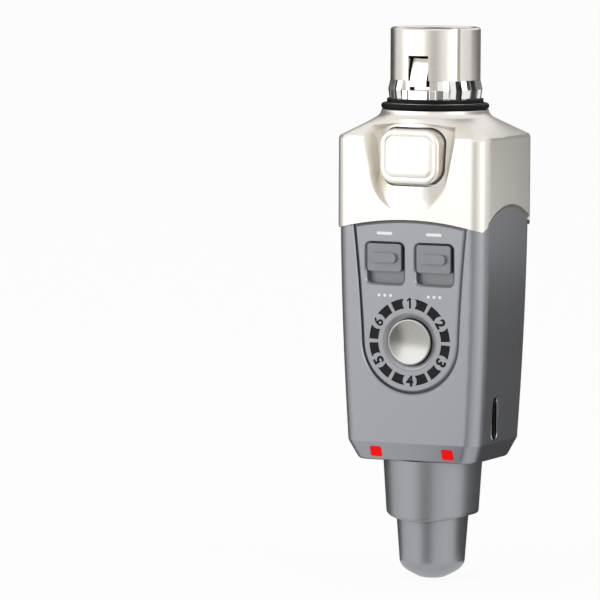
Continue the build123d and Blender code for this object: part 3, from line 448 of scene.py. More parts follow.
def lamp_body():
    """Cream diffuser of a small surface lamp."""
    material, nodes = new_material("lamp_body")
    cream = (0.78, 0.74, 0.60, 1)
    pale_cream = (0.86, 0.83, 0.72, 1)
    fine = nodes.noise(0.3 * MM, 3.0)
    nodes.surface(
        Base_Color=nodes.mix(fine, cream, pale_cream),
        Roughness=0.38 + fine * 0.1,
        Normal=nodes.bump(fine, 0.004 * MM, 0.2),
    )
    return material


def cell_wrap():
    """Shrink wrap round the battery, with faint wrinkles along it."""
    material, nodes = new_material("cell_wrap")
    blue = (0.05, 0.12, 0.26, 1)
    pale_blue = (0.08, 0.17, 0.33, 1)
    wrinkle = nodes.noise(2.2 * MM, 4.0, (1.0, 1.0, 0.25))
    nodes.surface(
        Base_Color=nodes.mix(wrinkle, blue, pale_blue),
        Roughness=0.26 + wrinkle * 0.15,
        Normal=nodes.bump(wrinkle, 0.05 * MM, 0.4),
    )
    return material


def pad_foam():
    """Grey foam with open pores, whose hollows are coloured darker as painted shade."""
    material, nodes = new_material("pad_foam")
    # The pore stop is painted shade: the hollows of the bump are coloured darker than the walls between
    # them.
    pore = (0.1, (0.02, 0.02, 0.022, 1))
    wall = (0.6, (0.10, 0.10, 0.11, 1))
    pores = nodes.cells(0.45 * MM)
    nodes.surface(
        Base_Color=nodes.ramp(pores, [pore, wall]),
        Roughness=0.92,
        Normal=nodes.bump(pores, 0.12 * MM, 0.6),
    )
    return material


def print_ink(name, colour, roughness):
    """A thin film of printed ink."""
    material, nodes = new_material(name)
    fine = nodes.noise(0.12 * MM, 3.0)
    nodes.surface(
        Base_Color=nodes.mix(fine, shade(colour, 0.92), shade(colour, 1.06)),
        Roughness=roughness + fine * 0.1,
        Specular_IOR_Level=0.2,
        Normal=nodes.bump(fine, 0.002 * MM, 0.2),
    )
    return material


def make_finishes(colours):
    """Every finish of the object, by the name of its material slot."""
    return {
        "satin_nickel": satin_nickel(colours.nickel),
        "chrome": bright_plate("bright_chrome", (0.86, 0.86, 0.85), 0.05),
        "spring_steel": bright_plate("spring_plate", (0.84, 0.84, 0.83), 0.08),
        "nickel_nut": bright_plate("nickel_nut", (0.70, 0.67, 0.61), 0.26),
        "champagne": pearl_paint("champagne_pearl", colours.champagne, 0.86, 0.26, 0.03, 0.16 * MM),
        "grey_body": pearl_paint("grey_pearl", colours.grey, 0.88, 0.30, 0.10, 0.20 * MM),
        "black_plastic": moulded_plastic("black_plastic", (0.006, 0.006, 0.0065), 0.34, gloss=0.12),
        "cap_grey": pearl_paint("cap_grey", shade(colours.grey, 0.72), 0.75, 0.34, 0.06, 0.20 * MM),
        "rubber": seal_rubber(),
        "gold_contact": bright_plate("gold_contact", (0.87, 0.64, 0.28), 0.16),
        "satin_button": spun_button((0.42, 0.415, 0.395)),
        "smoke_lens": dark_window(),
        "red_lens": glowing_lens(colours.lens_red),
        "circuit_board": circuit_board(),
        "lamp": lamp_body(),
        "tin_plate": bright_plate("tin_plate", (0.62, 0.62, 0.60), 0.30),
        "steel": bright_plate("screw_steel", (0.50, 0.50, 0.50), 0.24),
        "frame_plastic": moulded_plastic("frame_plastic", (0.055, 0.056, 0.060), 0.42),
        "cell_wrap": cell_wrap(),
        "foam": pad_foam(),
        "white_ink": print_ink("white_ink", (0.86, 0.86, 0.86), 0.45),
        "black_ink": print_ink("black_ink", (0.007, 0.007, 0.008), 0.5),
    }


FINISH_NAMES = {}


def finish(name):
    """The finish of a material slot, made once by the first operator."""
    return bpy.data.materials[FINISH_NAMES[name]]


# ---------------------------------------------------------------- modelling helpers


def deselect_all():
    """Leaves object mode with nothing selected."""
    if bpy.context.object is not None and bpy.context.object.mode != "OBJECT":
        bpy.ops.object.mode_set(mode="OBJECT")
    bpy.ops.object.select_all(action="DESELECT")


def select_only(piece):
    """Selects one object and makes it the active one."""
    deselect_all()
    piece.select_set(True)
    bpy.context.view_layer.objects.active = piece


def apply_place(piece):
    """Puts the object's place, turn and size into its mesh."""
    select_only(piece)
    bpy.ops.object.transform_apply(location=True, rotation=True, scale=True)


def apply_modifiers(piece):
    """Applies every modifier in order."""
    select_only(piece)
    for modifier in list(piece.modifiers):
        bpy.ops.object.modifier_apply(modifier=modifier.name)


def smooth(piece, degrees):
    """Smooth shading broken at edges sharper than the angle."""
    select_only(piece)
    bpy.ops.object.shade_smooth_by_angle(angle=math.radians(degrees), keep_sharp_edges=False)


def settle(piece, name, body, slot_name, material, *nodes):
    """Names a finished piece and gives it its body, its finish and the nodes it stands for; its slot name
    is not used.
    """
    piece.name = name
    piece.data.name = name
    piece.data.materials.clear()
    piece.data.materials.append(material)
    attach(piece, body)
    if nodes:
        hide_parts(*nodes)
    deselect_all()
    return piece


def paint(slot_name, *nodes):
    """Gives frame nodes the finish of a slot."""
    for node in nodes:
        for slot in NODES[node].material_slots:
            slot.material = finish(slot_name)


def merged_copy(node):
    """A copy of a node's mesh with its triangles merged into faces."""
    flat = math.radians(0.6)
    piece = bpy.data.objects.new(node + "_formed", NODES[node].data.copy())
    bpy.context.scene.collection.objects.link(piece)
    select_only(piece)
    bpy.ops.object.mode_set(mode="EDIT")
    bpy.ops.mesh.select_all(action="SELECT")
    bpy.ops.mesh.remove_doubles(threshold=MERGE_DISTANCE)
    bpy.ops.mesh.customdata_custom_splitnormals_clear()
    bpy.ops.mesh.dissolve_limited(angle_limit=flat)
    bpy.ops.object.mode_set(mode="OBJECT")
    return piece


def bevel_where(piece, wanted, width, segments=2, clamp=True):
    """Bevels the sharp edges whose middle, in millimetres, is wanted."""
    select_only(piece)
    bpy.ops.object.mode_set(mode="EDIT")
    bpy.ops.mesh.select_mode(type="EDGE")
    bpy.ops.mesh.select_all(action="DESELECT")
    bpy.ops.mesh.edges_select_sharp(sharpness=SHARP)
    bpy.ops.object.mode_set(mode="OBJECT")
    mesh = piece.data
    chosen = []
    for edge in mesh.edges:
        first, second = (mesh.vertices[index].co for index in edge.vertices)
        chosen.append(edge.select and bool(wanted((first + second) / 2 / MM)))
    mesh.vertices.foreach_set("select", [False] * len(mesh.vertices))
    mesh.polygons.foreach_set("select", [False] * len(mesh.polygons))
    mesh.edges.foreach_set("select", chosen)
    bpy.ops.object.mode_set(mode="EDIT")
    bpy.ops.mesh.select_mode(type="EDGE")
    bpy.ops.mesh.bevel(offset=width, segments=segments, clamp_overlap=clamp, loop_slide=False)
    bpy.ops.object.mode_set(mode="OBJECT")


def weigh_normals(piece, degrees=38):
    """Smooth shading that keeps large faces flat."""
    smooth(piece, degrees)
    weighted = piece.modifiers.new("weighted", "WEIGHTED_NORMAL")
    weighted.keep_sharp = True
    apply_modifiers(piece)


def stand_for(piece, node, slot_name, finish_name=None):
    """Lets a formed copy stand for its node."""
    material = finish(finish_name or slot_name)
    return settle(piece, node + "_formed", BODY_OF_NODE[node], slot_name, material, node)


def softened(node, slot_name, width, finish_name=None):
    """A merged copy of a node with a small bevel on its sharp edges."""
    piece = merged_copy(node)
    bevel = piece.modifiers.new("edge", "BEVEL")
    bevel.width = width
    bevel.segments = 2
    bevel.limit_method = "ANGLE"
    bevel.angle_limit = SHARP
    bevel.use_clamp_overlap = True
    apply_modifiers(piece)
    weigh_normals(piece)
    return stand_for(piece, node, slot_name, finish_name)


def pick_faces(piece, wanted):
    """Selects the faces whose middle, in millimetres, and normal are wanted, and enters edit mode."""
    select_only(piece)
    bpy.ops.object.mode_set(mode="EDIT")
    bpy.ops.mesh.select_mode(type="FACE")
    bpy.ops.mesh.select_all(action="DESELECT")
    bpy.ops.object.mode_set(mode="OBJECT")
    for face in piece.data.polygons:
        face.select = bool(wanted(face.center / MM, face.normal))
    bpy.ops.object.mode_set(mode="EDIT")
    bpy.ops.mesh.select_mode(type="FACE")


def inset(thickness, depth=0.0):
    """Insets the selected faces and moves the inner ones outwards by the depth."""
    bpy.ops.mesh.inset(thickness=thickness, depth=depth)


def join(pieces):
    """Joins pieces into the first one."""
    deselect_all()
    for piece in pieces:
        piece.select_set(True)
    bpy.context.view_layer.objects.active = pieces[0]
    bpy.ops.object.join()
    return pieces[0]


def panel_matrix(across, up, out, clockwise=0.0):
    """The placement of a flat thing on the panel: across, up and out from the middle of the
    channel button, and turned clockwise."""
    axes = Matrix((PANEL_ACROSS, PANEL_UP, PANEL_OUT)).transposed().to_4x4()
    spot = PANEL_ORIGIN + PANEL_ACROSS * across + PANEL_UP * up + PANEL_OUT * out
    return Matrix.Translation(spot) @ axes @ Matrix.Rotation(-clockwise, 4, "Z")


def lay_on_panel(piece, across, up, out, clockwise=0.0):
    """Moves a piece from the origin to its place on the panel."""
    piece.matrix_world = panel_matrix(across, up, out, clockwise)
    apply_place(piece)


def add_block(size, location=(0, 0, 0)):
    """A cuboid of a size, with its middle at a place."""
    deselect_all()
    bpy.ops.mesh.primitive_cube_add(size=1, location=location)
    block = bpy.context.object
    block.scale = size
    apply_place(block)
    return block


# ---------------------------------------------------------------- pieces


class TransmitterPiece:
    """What the operators have in common."""

    bl_options = {"REGISTER", "UNDO"}

    @classmethod
    def poll(cls, context):
        return context.scene is not None


class TRANSMITTER_OT_finishes(TransmitterPiece, bpy.types.Operator):
    """Makes every finish of the transmitter"""

    bl_idname = "transmitter.finishes"
    bl_label = "Finishes"

    def execute(self, context):
        for slot_name, material in make_finishes(context.scene.transmitter_colours).items():
            FINISH_NAMES[slot_name] = material.name
        return {"FINISHED"}


class TRANSMITTER_OT_shells(TransmitterPiece, bpy.types.Operator):
    """Finishes the housings, the base and the tail"""

    bl_idname = "transmitter.shells"
    bl_label = "Shells"

    def execute(self, context):
        self.form_upper_housing()
        self.form_lower_housing()
        paint("grey_body", "base_cap", "tail_sleeve", "tail_cap")
        return {"FINISHED"}

    def form_upper_housing(self):
        """Breaks the box's top edge and the skirt's lower side edges with a narrow flat."""
        piece = merged_copy("upper_housing")
        half = max(v.co.x for v in piece.data.vertices) / MM
        back = max(v.co.y for v in piece.data.vertices) / MM
        top = -19.1
        arch_top = -31
        corner = 3
        near = 0.05

        def at_top(point):
            outer = abs(point.x) > half - corner or abs(point.y) > back - near
            return abs(point.z - top) < 0.15 and outer

        def at_skirt(point):
            return point.z < arch_top and abs(point.x) > half - near

        bevel_where(piece, at_top, 0.32 * MM, 1, clamp=False)
        bevel_where(piece, at_skirt, 0.55 * MM, 1, clamp=False)
        weigh_normals(piece, 24)
        stand_for(piece, "upper_housing", "champagne")

    def form_lower_housing(self):
        """Bevels the rim of the panel's recess, so that the seam shows."""
        piece = merged_copy("lower_housing")
        recess_half = 11.2
        recess_low = -64.6
        recess_high = -33

        def at_rim(point):
            out = (point * MM - PANEL_ORIGIN).dot(PANEL_OUT) / MM
            in_recess = abs(point.x) < recess_half and recess_low < point.z < recess_high
            return abs(out) < 0.03 and in_recess

        bevel_where(piece, at_rim, 0.24 * MM, 1, clamp=False)
        weigh_normals(piece)
        stand_for(piece, "lower_housing", "grey_body")


class TRANSMITTER_OT_nose(TransmitterPiece, bpy.types.Operator):
    """Finishes the plug nose with its insert, contacts and ring nut"""

    bl_idname = "transmitter.nose"
    bl_label = "Plug nose"

    def execute(self, context):
        paint("satin_nickel", "nose_shell")
        paint("black_plastic", "nose_insert")
        paint("gold_contact", "contact_1", "contact_2", "contact_3")
        paint("nickel_nut", "nose_nut")
        return {"FINISHED"}


class TRANSMITTER_OT_seals(TransmitterPiece, bpy.types.Operator):
    """Finishes the black disc and the rubber seal"""

    bl_idname = "transmitter.seals"
    bl_label = "Seals"

    def execute(self, context):
        paint("black_plastic", "seal_disc")
        paint("rubber", "seal_ring")
        return {"FINISHED"}


class TRANSMITTER_OT_latch(TransmitterPiece, bpy.types.Operator):
    """Finishes the latch lever, its pin, its spring and its button"""

    bl_idname = "transmitter.latch"
    bl_label = "Latch lever"

    def execute(self, context):
        softened("latch_lever", "spring_steel", 0.10 * MM)
        paint("spring_steel", "latch_pin")
        self.form_spring()
        self.form_button(context.scene.transmitter_sizes.cushion_rise)
        return {"FINISHED"}

    def form_spring(self):
        """A smoothed copy of the spring, with a mesh of its own."""
        spring = merged_copy("latch_spring")
        smooth(spring, 40)
        stand_for(spring, "latch_spring", "spring_steel")
        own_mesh(spring)

    def form_button(self, rise):
        """Raises a soft cushion inside the rim of the latch button."""
        piece = merged_copy("latch_button")
        self.ease(piece)
        front = min(v.co.y for v in piece.data.vertices) / MM
        pick_faces(piece, lambda p, n: n.y < -0.99999 and p.y < front + 0.01)
        # Each step's width in millimetres, and its share of the rise.
        cushion_steps = ((0.42, 0), (0.14, -0.3), (0.14, 0.9), (0.25, 0.25), (0.40, 0.15))
        for width, share in cushion_steps:
            inset(width * MM, rise * share)
        bpy.ops.object.mode_set(mode="OBJECT")
        weigh_normals(piece, 30)
        stand_for(piece, "latch_button", "champagne")

    def ease(self, piece):
        """Draws the sides of the button's head in, so that a dark gap shows round it, and
        slims its stem, so that it runs clear of the ring nut and the lever."""
        low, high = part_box("latch_button")
        middle = (low + high) / 2
        head_back = low.y + 1.8 * MM
        head_core = 2.6 * MM
        head_gap = 0.17 * MM
        stem_front = -9 * MM
        stem_level = -22 * MM
        stem_reach = 1.25 * MM
        stem_share = 0.95
        tip_cut = 0.06 * MM
        for vertex in piece.data.vertices:
            across = vertex.co.x - middle.x
            up = vertex.co.z - middle.z
            from_axis = vertex.co.z - stem_level
            if vertex.co.y > high.y - 0.01 * MM:
                vertex.co.y -= tip_cut
            if vertex.co.y > stem_front and math.hypot(vertex.co.x, from_axis) < stem_reach:
                vertex.co.x *= stem_share
                vertex.co.z = stem_level + from_axis * stem_share
            elif vertex.co.y < head_back and max(abs(across), abs(up)) > head_core:
                vertex.co.x -= head_gap * max(-1.0, min(1.0, across / head_core))
                vertex.co.z -= head_gap * max(-1.0, min(1.0, up / head_core))


class TRANSMITTER_OT_ground_ring(TransmitterPiece, bpy.types.Operator):
    """Models the chrome ground ring with its folded spring fingers"""

    bl_idname = "transmitter.ground_ring"
    bl_label = "Ground ring"

    def execute(self, context):
        sizes = context.scene.transmitter_sizes
        low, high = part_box("ground_ring")
        fingers = self.fold_fingers(sizes, low.z, high.z)
        strap = self.form_strap(low.z)
        ring = join([fingers, strap])
        smooth(ring, 4)
        settle(ring, "ground_ring_fingers", "housing", "chrome", finish("chrome"), "ground_ring")
        return {"FINISHED"}

    def fold_fingers(self, sizes, low, high):
        """One finger, folded outwards at its ridge, copied all round except at the latch."""
        pitch = TURN / sizes.finger_count
        radius = 7.50 * MM
        thickness = 0.44 * MM
        height = high - low
        ridge = low + RING_RIDGE
        ridge_spread = 0.16 * MM
        width = radius * pitch - sizes.finger_gap + ridge_spread
        finger = add_block((width, thickness, height), (0, -radius, low + height / 2))
        bpy.ops.object.mode_set(mode="EDIT")
        bpy.ops.mesh.select_all(action="SELECT")
        bpy.ops.mesh.bisect(plane_co=(0, 0, ridge), plane_no=(0, 0, 1))
        bpy.ops.mesh.select_all(action="SELECT")
        bpy.ops.mesh.bisect(plane_co=(0, 0, 0), plane_no=(1, 0, 0))
        bpy.ops.object.mode_set(mode="OBJECT")
        front = -radius - 0.1 * MM
        near = 0.01 * MM
        ridge_fold = 0.38 * MM
        foot_fold = 0.14 * MM
        middle_fold = 0.26 * MM
        self.push(finger, lambda p: p.y < front and abs(p.z - ridge) < near, -ridge_fold)
        self.push(finger, lambda p: p.y < front and p.z < ridge - near, -foot_fold)
        self.push(finger, lambda p: p.y < front and abs(p.x) < near, -middle_fold)
        finger.rotation_euler = (0, 0, -pitch * (STRAP_PLACES + 1) / 2)
        apply_place(finger)
        bpy.ops.object.mode_set(mode="EDIT")
        bpy.ops.mesh.select_all(action="SELECT")
        steps = sizes.finger_count - STRAP_PLACES - 1
        bpy.ops.mesh.spin(steps=steps, dupli=True, angle=pitch * steps, center=(0, 0, 0), axis=(0, 0, 1))
        bpy.ops.object.mode_set(mode="OBJECT")
        return finger

    def push(self, piece, wanted, forward):
        """Moves the wanted vertices along Y in edit mode."""
        select_only(piece)
        bpy.ops.object.mode_set(mode="EDIT")
        bpy.ops.mesh.select_mode(type="VERT")
        bpy.ops.mesh.select_all(action="DESELECT")
        bpy.ops.object.mode_set(mode="OBJECT")
        for vertex in piece.data.vertices:
            vertex.select = bool(wanted(vertex.co))
        bpy.ops.object.mode_set(mode="EDIT")
        bpy.ops.transform.translate(value=(0, forward, 0))
        bpy.ops.object.mode_set(mode="OBJECT")

    def form_strap(self, low):
        """The plain strap that closes the ring below the latch window, with a lug each side."""
        radius = 7.86 * MM
        thickness = 0.5 * MM
        strap_width = 3.7 * MM
        lug_width = 1.15 * MM
        lug_turn = math.radians(19.3)
        blocks = []
        for turn, width in ((0, strap_width), (lug_turn, lug_width), (-lug_turn, lug_width)):
            block = add_block((width, thickness, RING_RIDGE), (0, -radius, low + RING_RIDGE / 2))
            bevel_where(block, lambda p: True, 0.10 * MM)
            select_only(block)
            bpy.ops.transform.rotate(value=-turn, orient_axis="Z", center_override=(0, 0, 0))
            apply_place(block)
            blocks.append(block)
        return join(blocks)


class TRANSMITTER_OT_panel(TransmitterPiece, bpy.types.Operator):
    """Finishes the control panel, the dial windows and the bezel"""

    bl_idname = "transmitter.panel"
    bl_label = "Control panel"

    def execute(self, context):
        self.form_panel()
        self.turn_bezel()
        paint("smoke_lens", "channel_lens")
        return {"FINISHED"}

    def form_panel(self):
        """Gives the panel's outline and the rims of its two windows a wide flank."""
        piece = merged_copy("control_panel")
        windows_half = 8.6
        windows_low = 9.0
        windows_high = 18.2
        dial_radius = 8.3

        def lift(point):
            return (point * MM - PANEL_ORIGIN).dot(PANEL_UP) / MM

        def on_face(point):
            return abs((point * MM - PANEL_ORIGIN).dot(PANEL_OUT)) < 0.05 * MM

        def at_outline(point):
            beside = abs(point.x) > windows_half or not windows_low < lift(point) < windows_high
            return on_face(point) and beside and lift(point) ** 2 + point.x ** 2 > dial_radius ** 2

        bevel_where(piece, at_outline, 0.60 * MM, 1, clamp=False)
        for across in SWITCH_PLACES:
            self.flare_window(piece, across, WINDOW_UP)
        weigh_normals(piece, 30)
        stand_for(piece, "control_panel", "grey_body")

    def flare_window(self, panel, across, up):
        """Slopes the rim of one switch window at 45 degrees."""
        half = 3.56 * MM
        radius = 1.31 * MM
        slope = 0.36 * MM
        above = 0.10 * MM
        reach = 0.60 * MM
        height = 0.4 * MM
        rim = half + slope + above
        cutter = add_block((2 * rim, 2 * rim, height))
        bevel_where(cutter, lambda p: abs(p.z) < 0.001, radius, 8)
        lay_on_panel(cutter, across, up, above + height / 2)
        pick_faces(cutter, lambda p, n: n.dot(PANEL_OUT) < -0.9)
        inset(reach, reach)
        bpy.ops.object.mode_set(mode="OBJECT")
        cut = panel.modifiers.new("window", "BOOLEAN")
        cut.operation = "DIFFERENCE"
        cut.solver = "EXACT"
        cut.object = cutter
        apply_modifiers(panel)
        bpy.data.objects.remove(cutter)

    def turn_bezel(self):
        """A ring that slopes down to the channel button."""
        radius = 5.1 * MM
        depth = 1.4 * MM
        sunk = 0.02 * MM
        lip = 0.08 * MM
        slope = 0.80 * MM
        drop = 0.42 * MM
        deselect_all()
        bpy.ops.mesh.primitive_cylinder_add(vertices=128, radius=radius, depth=depth)
        bezel = bpy.context.object
        lay_on_panel(bezel, 0, 0, -sunk - depth / 2)
        pick_faces(bezel, lambda p, n: n.dot(PANEL_OUT) > 0.9)
        inset(lip)
        inset(slope, -drop)
        bpy.ops.object.mode_set(mode="OBJECT")
        pick_faces(bezel, lambda p, n: n.dot(PANEL_OUT) < -0.9)
        inset(lip + slope)
        bpy.ops.object.mode_set(mode="OBJECT")

        def is_middle_disc(point, normal):
            off_axis = (point - PANEL_ORIGIN / MM).cross(PANEL_OUT).length
            return off_axis < 0.5 and abs(normal.dot(PANEL_OUT)) > 0.9

        pick_faces(bezel, is_middle_disc)
        bpy.ops.mesh.bridge_edge_loops()
        bpy.ops.mesh.select_all(action="SELECT")
        bpy.ops.mesh.normals_make_consistent(inside=False)
        bpy.ops.object.mode_set(mode="OBJECT")
        weigh_normals(bezel, 25)
        settle(bezel, "button_bezel_turned", "housing", "grey_body", finish("grey_body"), "button_bezel")


class TRANSMITTER_OT_numerals(TransmitterPiece, bpy.types.Operator):
    """Prints the numbers 1 to 6 round the channel button"""

    bl_idname = "transmitter.numerals"
    bl_label = "Numerals"

    def execute(self, context):
        sizes = context.scene.transmitter_sizes
        for number in range(1, 7):
            angle = TURN / 6 * (number - 1)
            across = sizes.numeral_radius * math.sin(angle)
            up = sizes.numeral_radius * math.cos(angle)
            # The 4, straight below the button, stands upright instead of upside down.
            turn = 0.0 if number == 4 else angle
            self.print_numeral(str(number), across, up, turn, sizes)
        return {"FINISHED"}

    def print_numeral(self, text, across, up, turn, sizes):
        """One numeral, lying on the panel, with its strokes fattened a little."""
        if text == "1":
            self.print_one(across, up, sizes)
            return
        height_share = 0.72
        fattening = (0.05 if text == "6" else 0.105) * MM
        deselect_all()
        bpy.ops.object.text_add(location=(0, 0, 0))
        glyph = bpy.context.object
        glyph.data.body = text
        glyph.data.align_x = "CENTER"
        glyph.data.align_y = "CENTER"
        glyph.data.size = sizes.numeral_height / height_share
        glyph.data.offset = fattening
        glyph.data.extrude = sizes.print_thickness / 2
        glyph.data.resolution_u = 8
        bpy.ops.object.convert(target="MESH")
        glyph = bpy.context.object
        low = Vector(min(v.co[axis] for v in glyph.data.vertices) for axis in range(3))
        high = Vector(max(v.co[axis] for v in glyph.data.vertices) for axis in range(3))
        middle = (low + high) / 2
        to_middle = Matrix.Translation((-middle.x, -middle.y, 0))
        glyph.matrix_world = panel_matrix(across, up, sizes.print_thickness / 2, turn) @ to_middle
        apply_place(glyph)
        bpy.ops.object.mode_set(mode="EDIT")
        bpy.ops.mesh.select_all(action="SELECT")
        bpy.ops.mesh.remove_doubles(threshold=MERGE_DISTANCE)
        bpy.ops.mesh.normals_make_consistent(inside=False)
        bpy.ops.object.mode_set(mode="OBJECT")
        smooth(glyph, 20)
        settle(glyph, "numeral_" + text, "housing", "black_plastic", finish("black_ink"))

    def print_one(self, across, up, sizes):
        """The numeral 1, drawn as a stem and its flag."""
        height = sizes.numeral_height
        out = sizes.print_thickness / 2
        # Each stroke: its place across and up, its lean, its length and its width.
        stem = (0.12 * MM, 0.0, 0.0, height, 0.36 * MM)
        flag = (-0.16 * MM, height * 0.36, math.radians(48), 0.72 * MM, 0.28 * MM)
        strokes = []
        for aside, above, lean, length, width in (stem, flag):
            stroke = add_block((width, length, sizes.print_thickness))
            bevel_where(stroke, lambda p: abs(p.z) < 0.001, 0.05 * MM, 3)
            lay_on_panel(stroke, across + aside, up + above, out, lean)
            strokes.append(stroke)
        glyph = join(strokes)
        smooth(glyph, 20)
        settle(glyph, "numeral_1", "housing", "black_plastic", finish("black_ink"))


class TRANSMITTER_OT_switches(TransmitterPiece, bpy.types.Operator):
    """Finishes the two sliding switches and prints a bar and three dots by each"""

    bl_idname = "transmitter.switches"
    bl_label = "Sliding switches"

    def execute(self, context):
        for side in ("left", "right"):
            softened("slider_" + side, "grey_body", 0.14 * MM, "cap_grey")
        paint("black_plastic", "slide_switch_left", "slide_switch_right")
        bar_width = 3.0 * MM
        bar_height = 0.52 * MM
        bar_up = 19.15 * MM
        dot = 0.55 * MM
        dot_up = 8.15 * MM
        dot_pitch = 1.1 * MM
        for across in SWITCH_PLACES:
            self.print_bar("bar", across, bar_up, bar_width, bar_height)
            for step in (-1, 0, 1):
                self.print_bar("dot", across + step * dot_pitch, dot_up, dot, dot)
        return {"FINISHED"}

    def print_bar(self, kind, across, up, width, height):
        """A white printed bar with rounded ends, named by its side and its place across."""
        side = "left" if across < 0 else "right"
        thickness = bpy.context.scene.transmitter_sizes.print_thickness

        def at_corner(point):
            return abs(point.x) * MM > width * 0.49 and abs(point.y) * MM > height * 0.49

        bar = add_block((width, height, thickness))
        bevel_where(bar, at_corner, height * 0.499, 8)
        lay_on_panel(bar, across, up, thickness / 2)
        smooth(bar, 20)
        name = f"mark_{kind}_{side}_{abs(across) / MM:.0f}"
        settle(bar, name, "housing", "black_plastic", finish("white_ink"))


class TRANSMITTER_OT_button(TransmitterPiece, bpy.types.Operator):
    """Finishes the dished channel button"""

    bl_idname = "transmitter.button"
    bl_label = "Channel button"

    def execute(self, context):
        paint("frame_plastic", "button_plunger")
        self.turn_button()
        return {"FINISHED"}

    def turn_button(self):
        """A round cap whose face is turned to a shallow dish inside a bright rim."""
        radius = 4.07 * MM
        depth = 2.6 * MM
        proud = 0.30 * MM
        dish = 0.66 * MM
        dish_rings = 14
        # Each step of the rim: its width and its rise.
        rim_steps = ((0.05 * MM, 0.08 * MM), (0.07 * MM, 0.04 * MM), (0.16 * MM, 0.0))
        rim_width = sum(width for width, rise in rim_steps)
        rim_rise = sum(rise for width, rise in rim_steps)
        deselect_all()
        bpy.ops.mesh.primitive_cylinder_add(vertices=128, radius=radius, depth=depth)
        cap = bpy.context.object
        lay_on_panel(cap, 0, 0, proud - rim_rise - depth / 2)
        pick_faces(cap, lambda p, n: n.dot(PANEL_OUT) > 0.9)
        for width, rise in rim_steps:
            inset(width, rise)
        inner = radius - rim_width
        step = (inner - 0.15 * MM) / dish_rings
        reach = [inner - step * ring for ring in range(dish_rings + 1)]
        for outer, nearer in zip(reach, reach[1:]):
            sink = dish * ((outer / inner) ** 2 - (nearer / inner) ** 2)
            inset(step, -sink)
        bpy.ops.object.mode_set(mode="OBJECT")
        weigh_normals(cap, 50)
        metal = finish("satin_button")
        settle(cap, "channel_button_turned", "channel_button", "satin_button", metal, "channel_button")


class TRANSMITTER_OT_lenses(TransmitterPiece, bpy.types.Operator):
    """Finishes the red status lenses and the small lamps"""

    bl_idname = "transmitter.lenses"
    bl_label = "Status lenses"

    def execute(self, context):
        paint("red_lens", "status_lenses")
        paint("lamp", "status_leds", "channel_leds")
        return {"FINISHED"}


class TRANSMITTER_OT_port(TransmitterPiece, bpy.types.Operator):
    """Finishes the charging port"""

    bl_idname = "transmitter.port"
    bl_label = "Charging port"

    def execute(self, context):
        softened("charge_socket", "chrome", 0.16 * MM)
        paint("black_plastic", "charge_tongue")
        return {"FINISHED"}


class TRANSMITTER_OT_inside(TransmitterPiece, bpy.types.Operator):
    """Finishes the boards, the battery, the frame and the screws"""

    bl_idname = "transmitter.inside"
    bl_label = "Inside parts"

    def execute(self, context):
        paint("circuit_board", "main_board", "audio_board", "antenna_board")
        paint("black_plastic", "board_link", "radio_chip", "board_chips", "tact_switch")
        paint("tin_plate", "rf_shield")
        paint("frame_plastic", "inner_frame")
        paint("cell_wrap", "battery")
        paint("foam", "battery_pad")
        paint("steel", "board_screws", "rear_screws")
        return {"FINISHED"}


# ---------------------------------------------------------------- stage


CAMERA_PLACE = Vector((0.397604, -0.935352, 0.041952))
CAMERA_YAW = math.radians(24.373)
CAMERA_PITCH = math.radians(5.096)
CAMERA_ROLL = math.radians(0.27)
CAMERA_SENSOR = 36.0
CAMERA_LENS = 344.025
SEEN_RAYS = ("Is Camera Ray", "Is Glossy Ray", "Is Transmission Ray")

# The lamps look at the middle of the object.
LAMP_TARGET = Vector((0, 0, -0.05))

# Each lamp: its name, azimuth, distance, width, height, level and radiance.
LAMPS = (
    ("lamp_left", -36, 0.9, 1.2, 0.7, 0.25, 1.12),
    ("lamp_right", 70, 0.9, 0.42, 0.7, 0.20, 1.6),
)

# Each card: its name, azimuth, distance, width, height, level and glow.
CARDS = (
    ("card_back_right", 160, 0.35, 0.46, 0.15, 0.035, 0.24),
    ("card_back_left", -138, 0.35, 0.52, 0.22, 0.01, 0.05),
    ("card_side_high", 182, 0.0555, 0.083, 0.056, -0.022, 0.17),
    ("card_side_low", 164, 0.0935, 0.120, 0.075, -0.088, 0.09),
    ("card_left", -90, 0.35, 0.29, 0.045, -0.080, 0.10),
    ("card_ring_left", -115, 0.25, 0.25, 0.09, 0.08, 0.03),
    ("card_ring_right", 120, 0.25, 0.22, 0.09, 0.08, 0.03),
    ("card_front", 22, 0.60, 0.24, 0.30, 0.05, 0.55),
)

# Each mat: its name, azimuth, half angle, nearest and farthest reach, and glow.
MATS = (
    ("mat_front", 6, 15, 0.012, 0.60, 0.25),
    ("mat_right", 150, 50, 0.012, 0.35, 0.05),
    ("mat_left", -140, 48, 0.012, 0.35, 0.04),
)


def seen_share(nodes):
    """1 where a ray comes from the camera, a reflection or a refraction, else 0."""
    share = 0.0
    for ray in SEEN_RAYS:
        share = share + nodes.add("ShaderNodeLightPath", {}, {}, ray)
    return nodes.add("ShaderNodeClamp", {}, {"Value": share})


def light_world():
    """A plain white world, a little dimmer as a light than as a background."""
    white = (1, 1, 1, 1)
    light_level = 0.7
    world = bpy.data.worlds.new("studio")
    bpy.context.scene.world = world
    world.use_nodes = True
    nodes = Nodes(world.node_tree)
    seen = nodes.add("ShaderNodeBackground", {}, {"Color": white, "Strength": 1.0})
    lit = nodes.add("ShaderNodeBackground", {}, {"Color": white, "Strength": light_level})
    both = nodes.add("ShaderNodeMixShader", {}, {0: seen_share(nodes), 1: lit, 2: seen})
    nodes.add("ShaderNodeOutputWorld", {}, {"Surface": both})


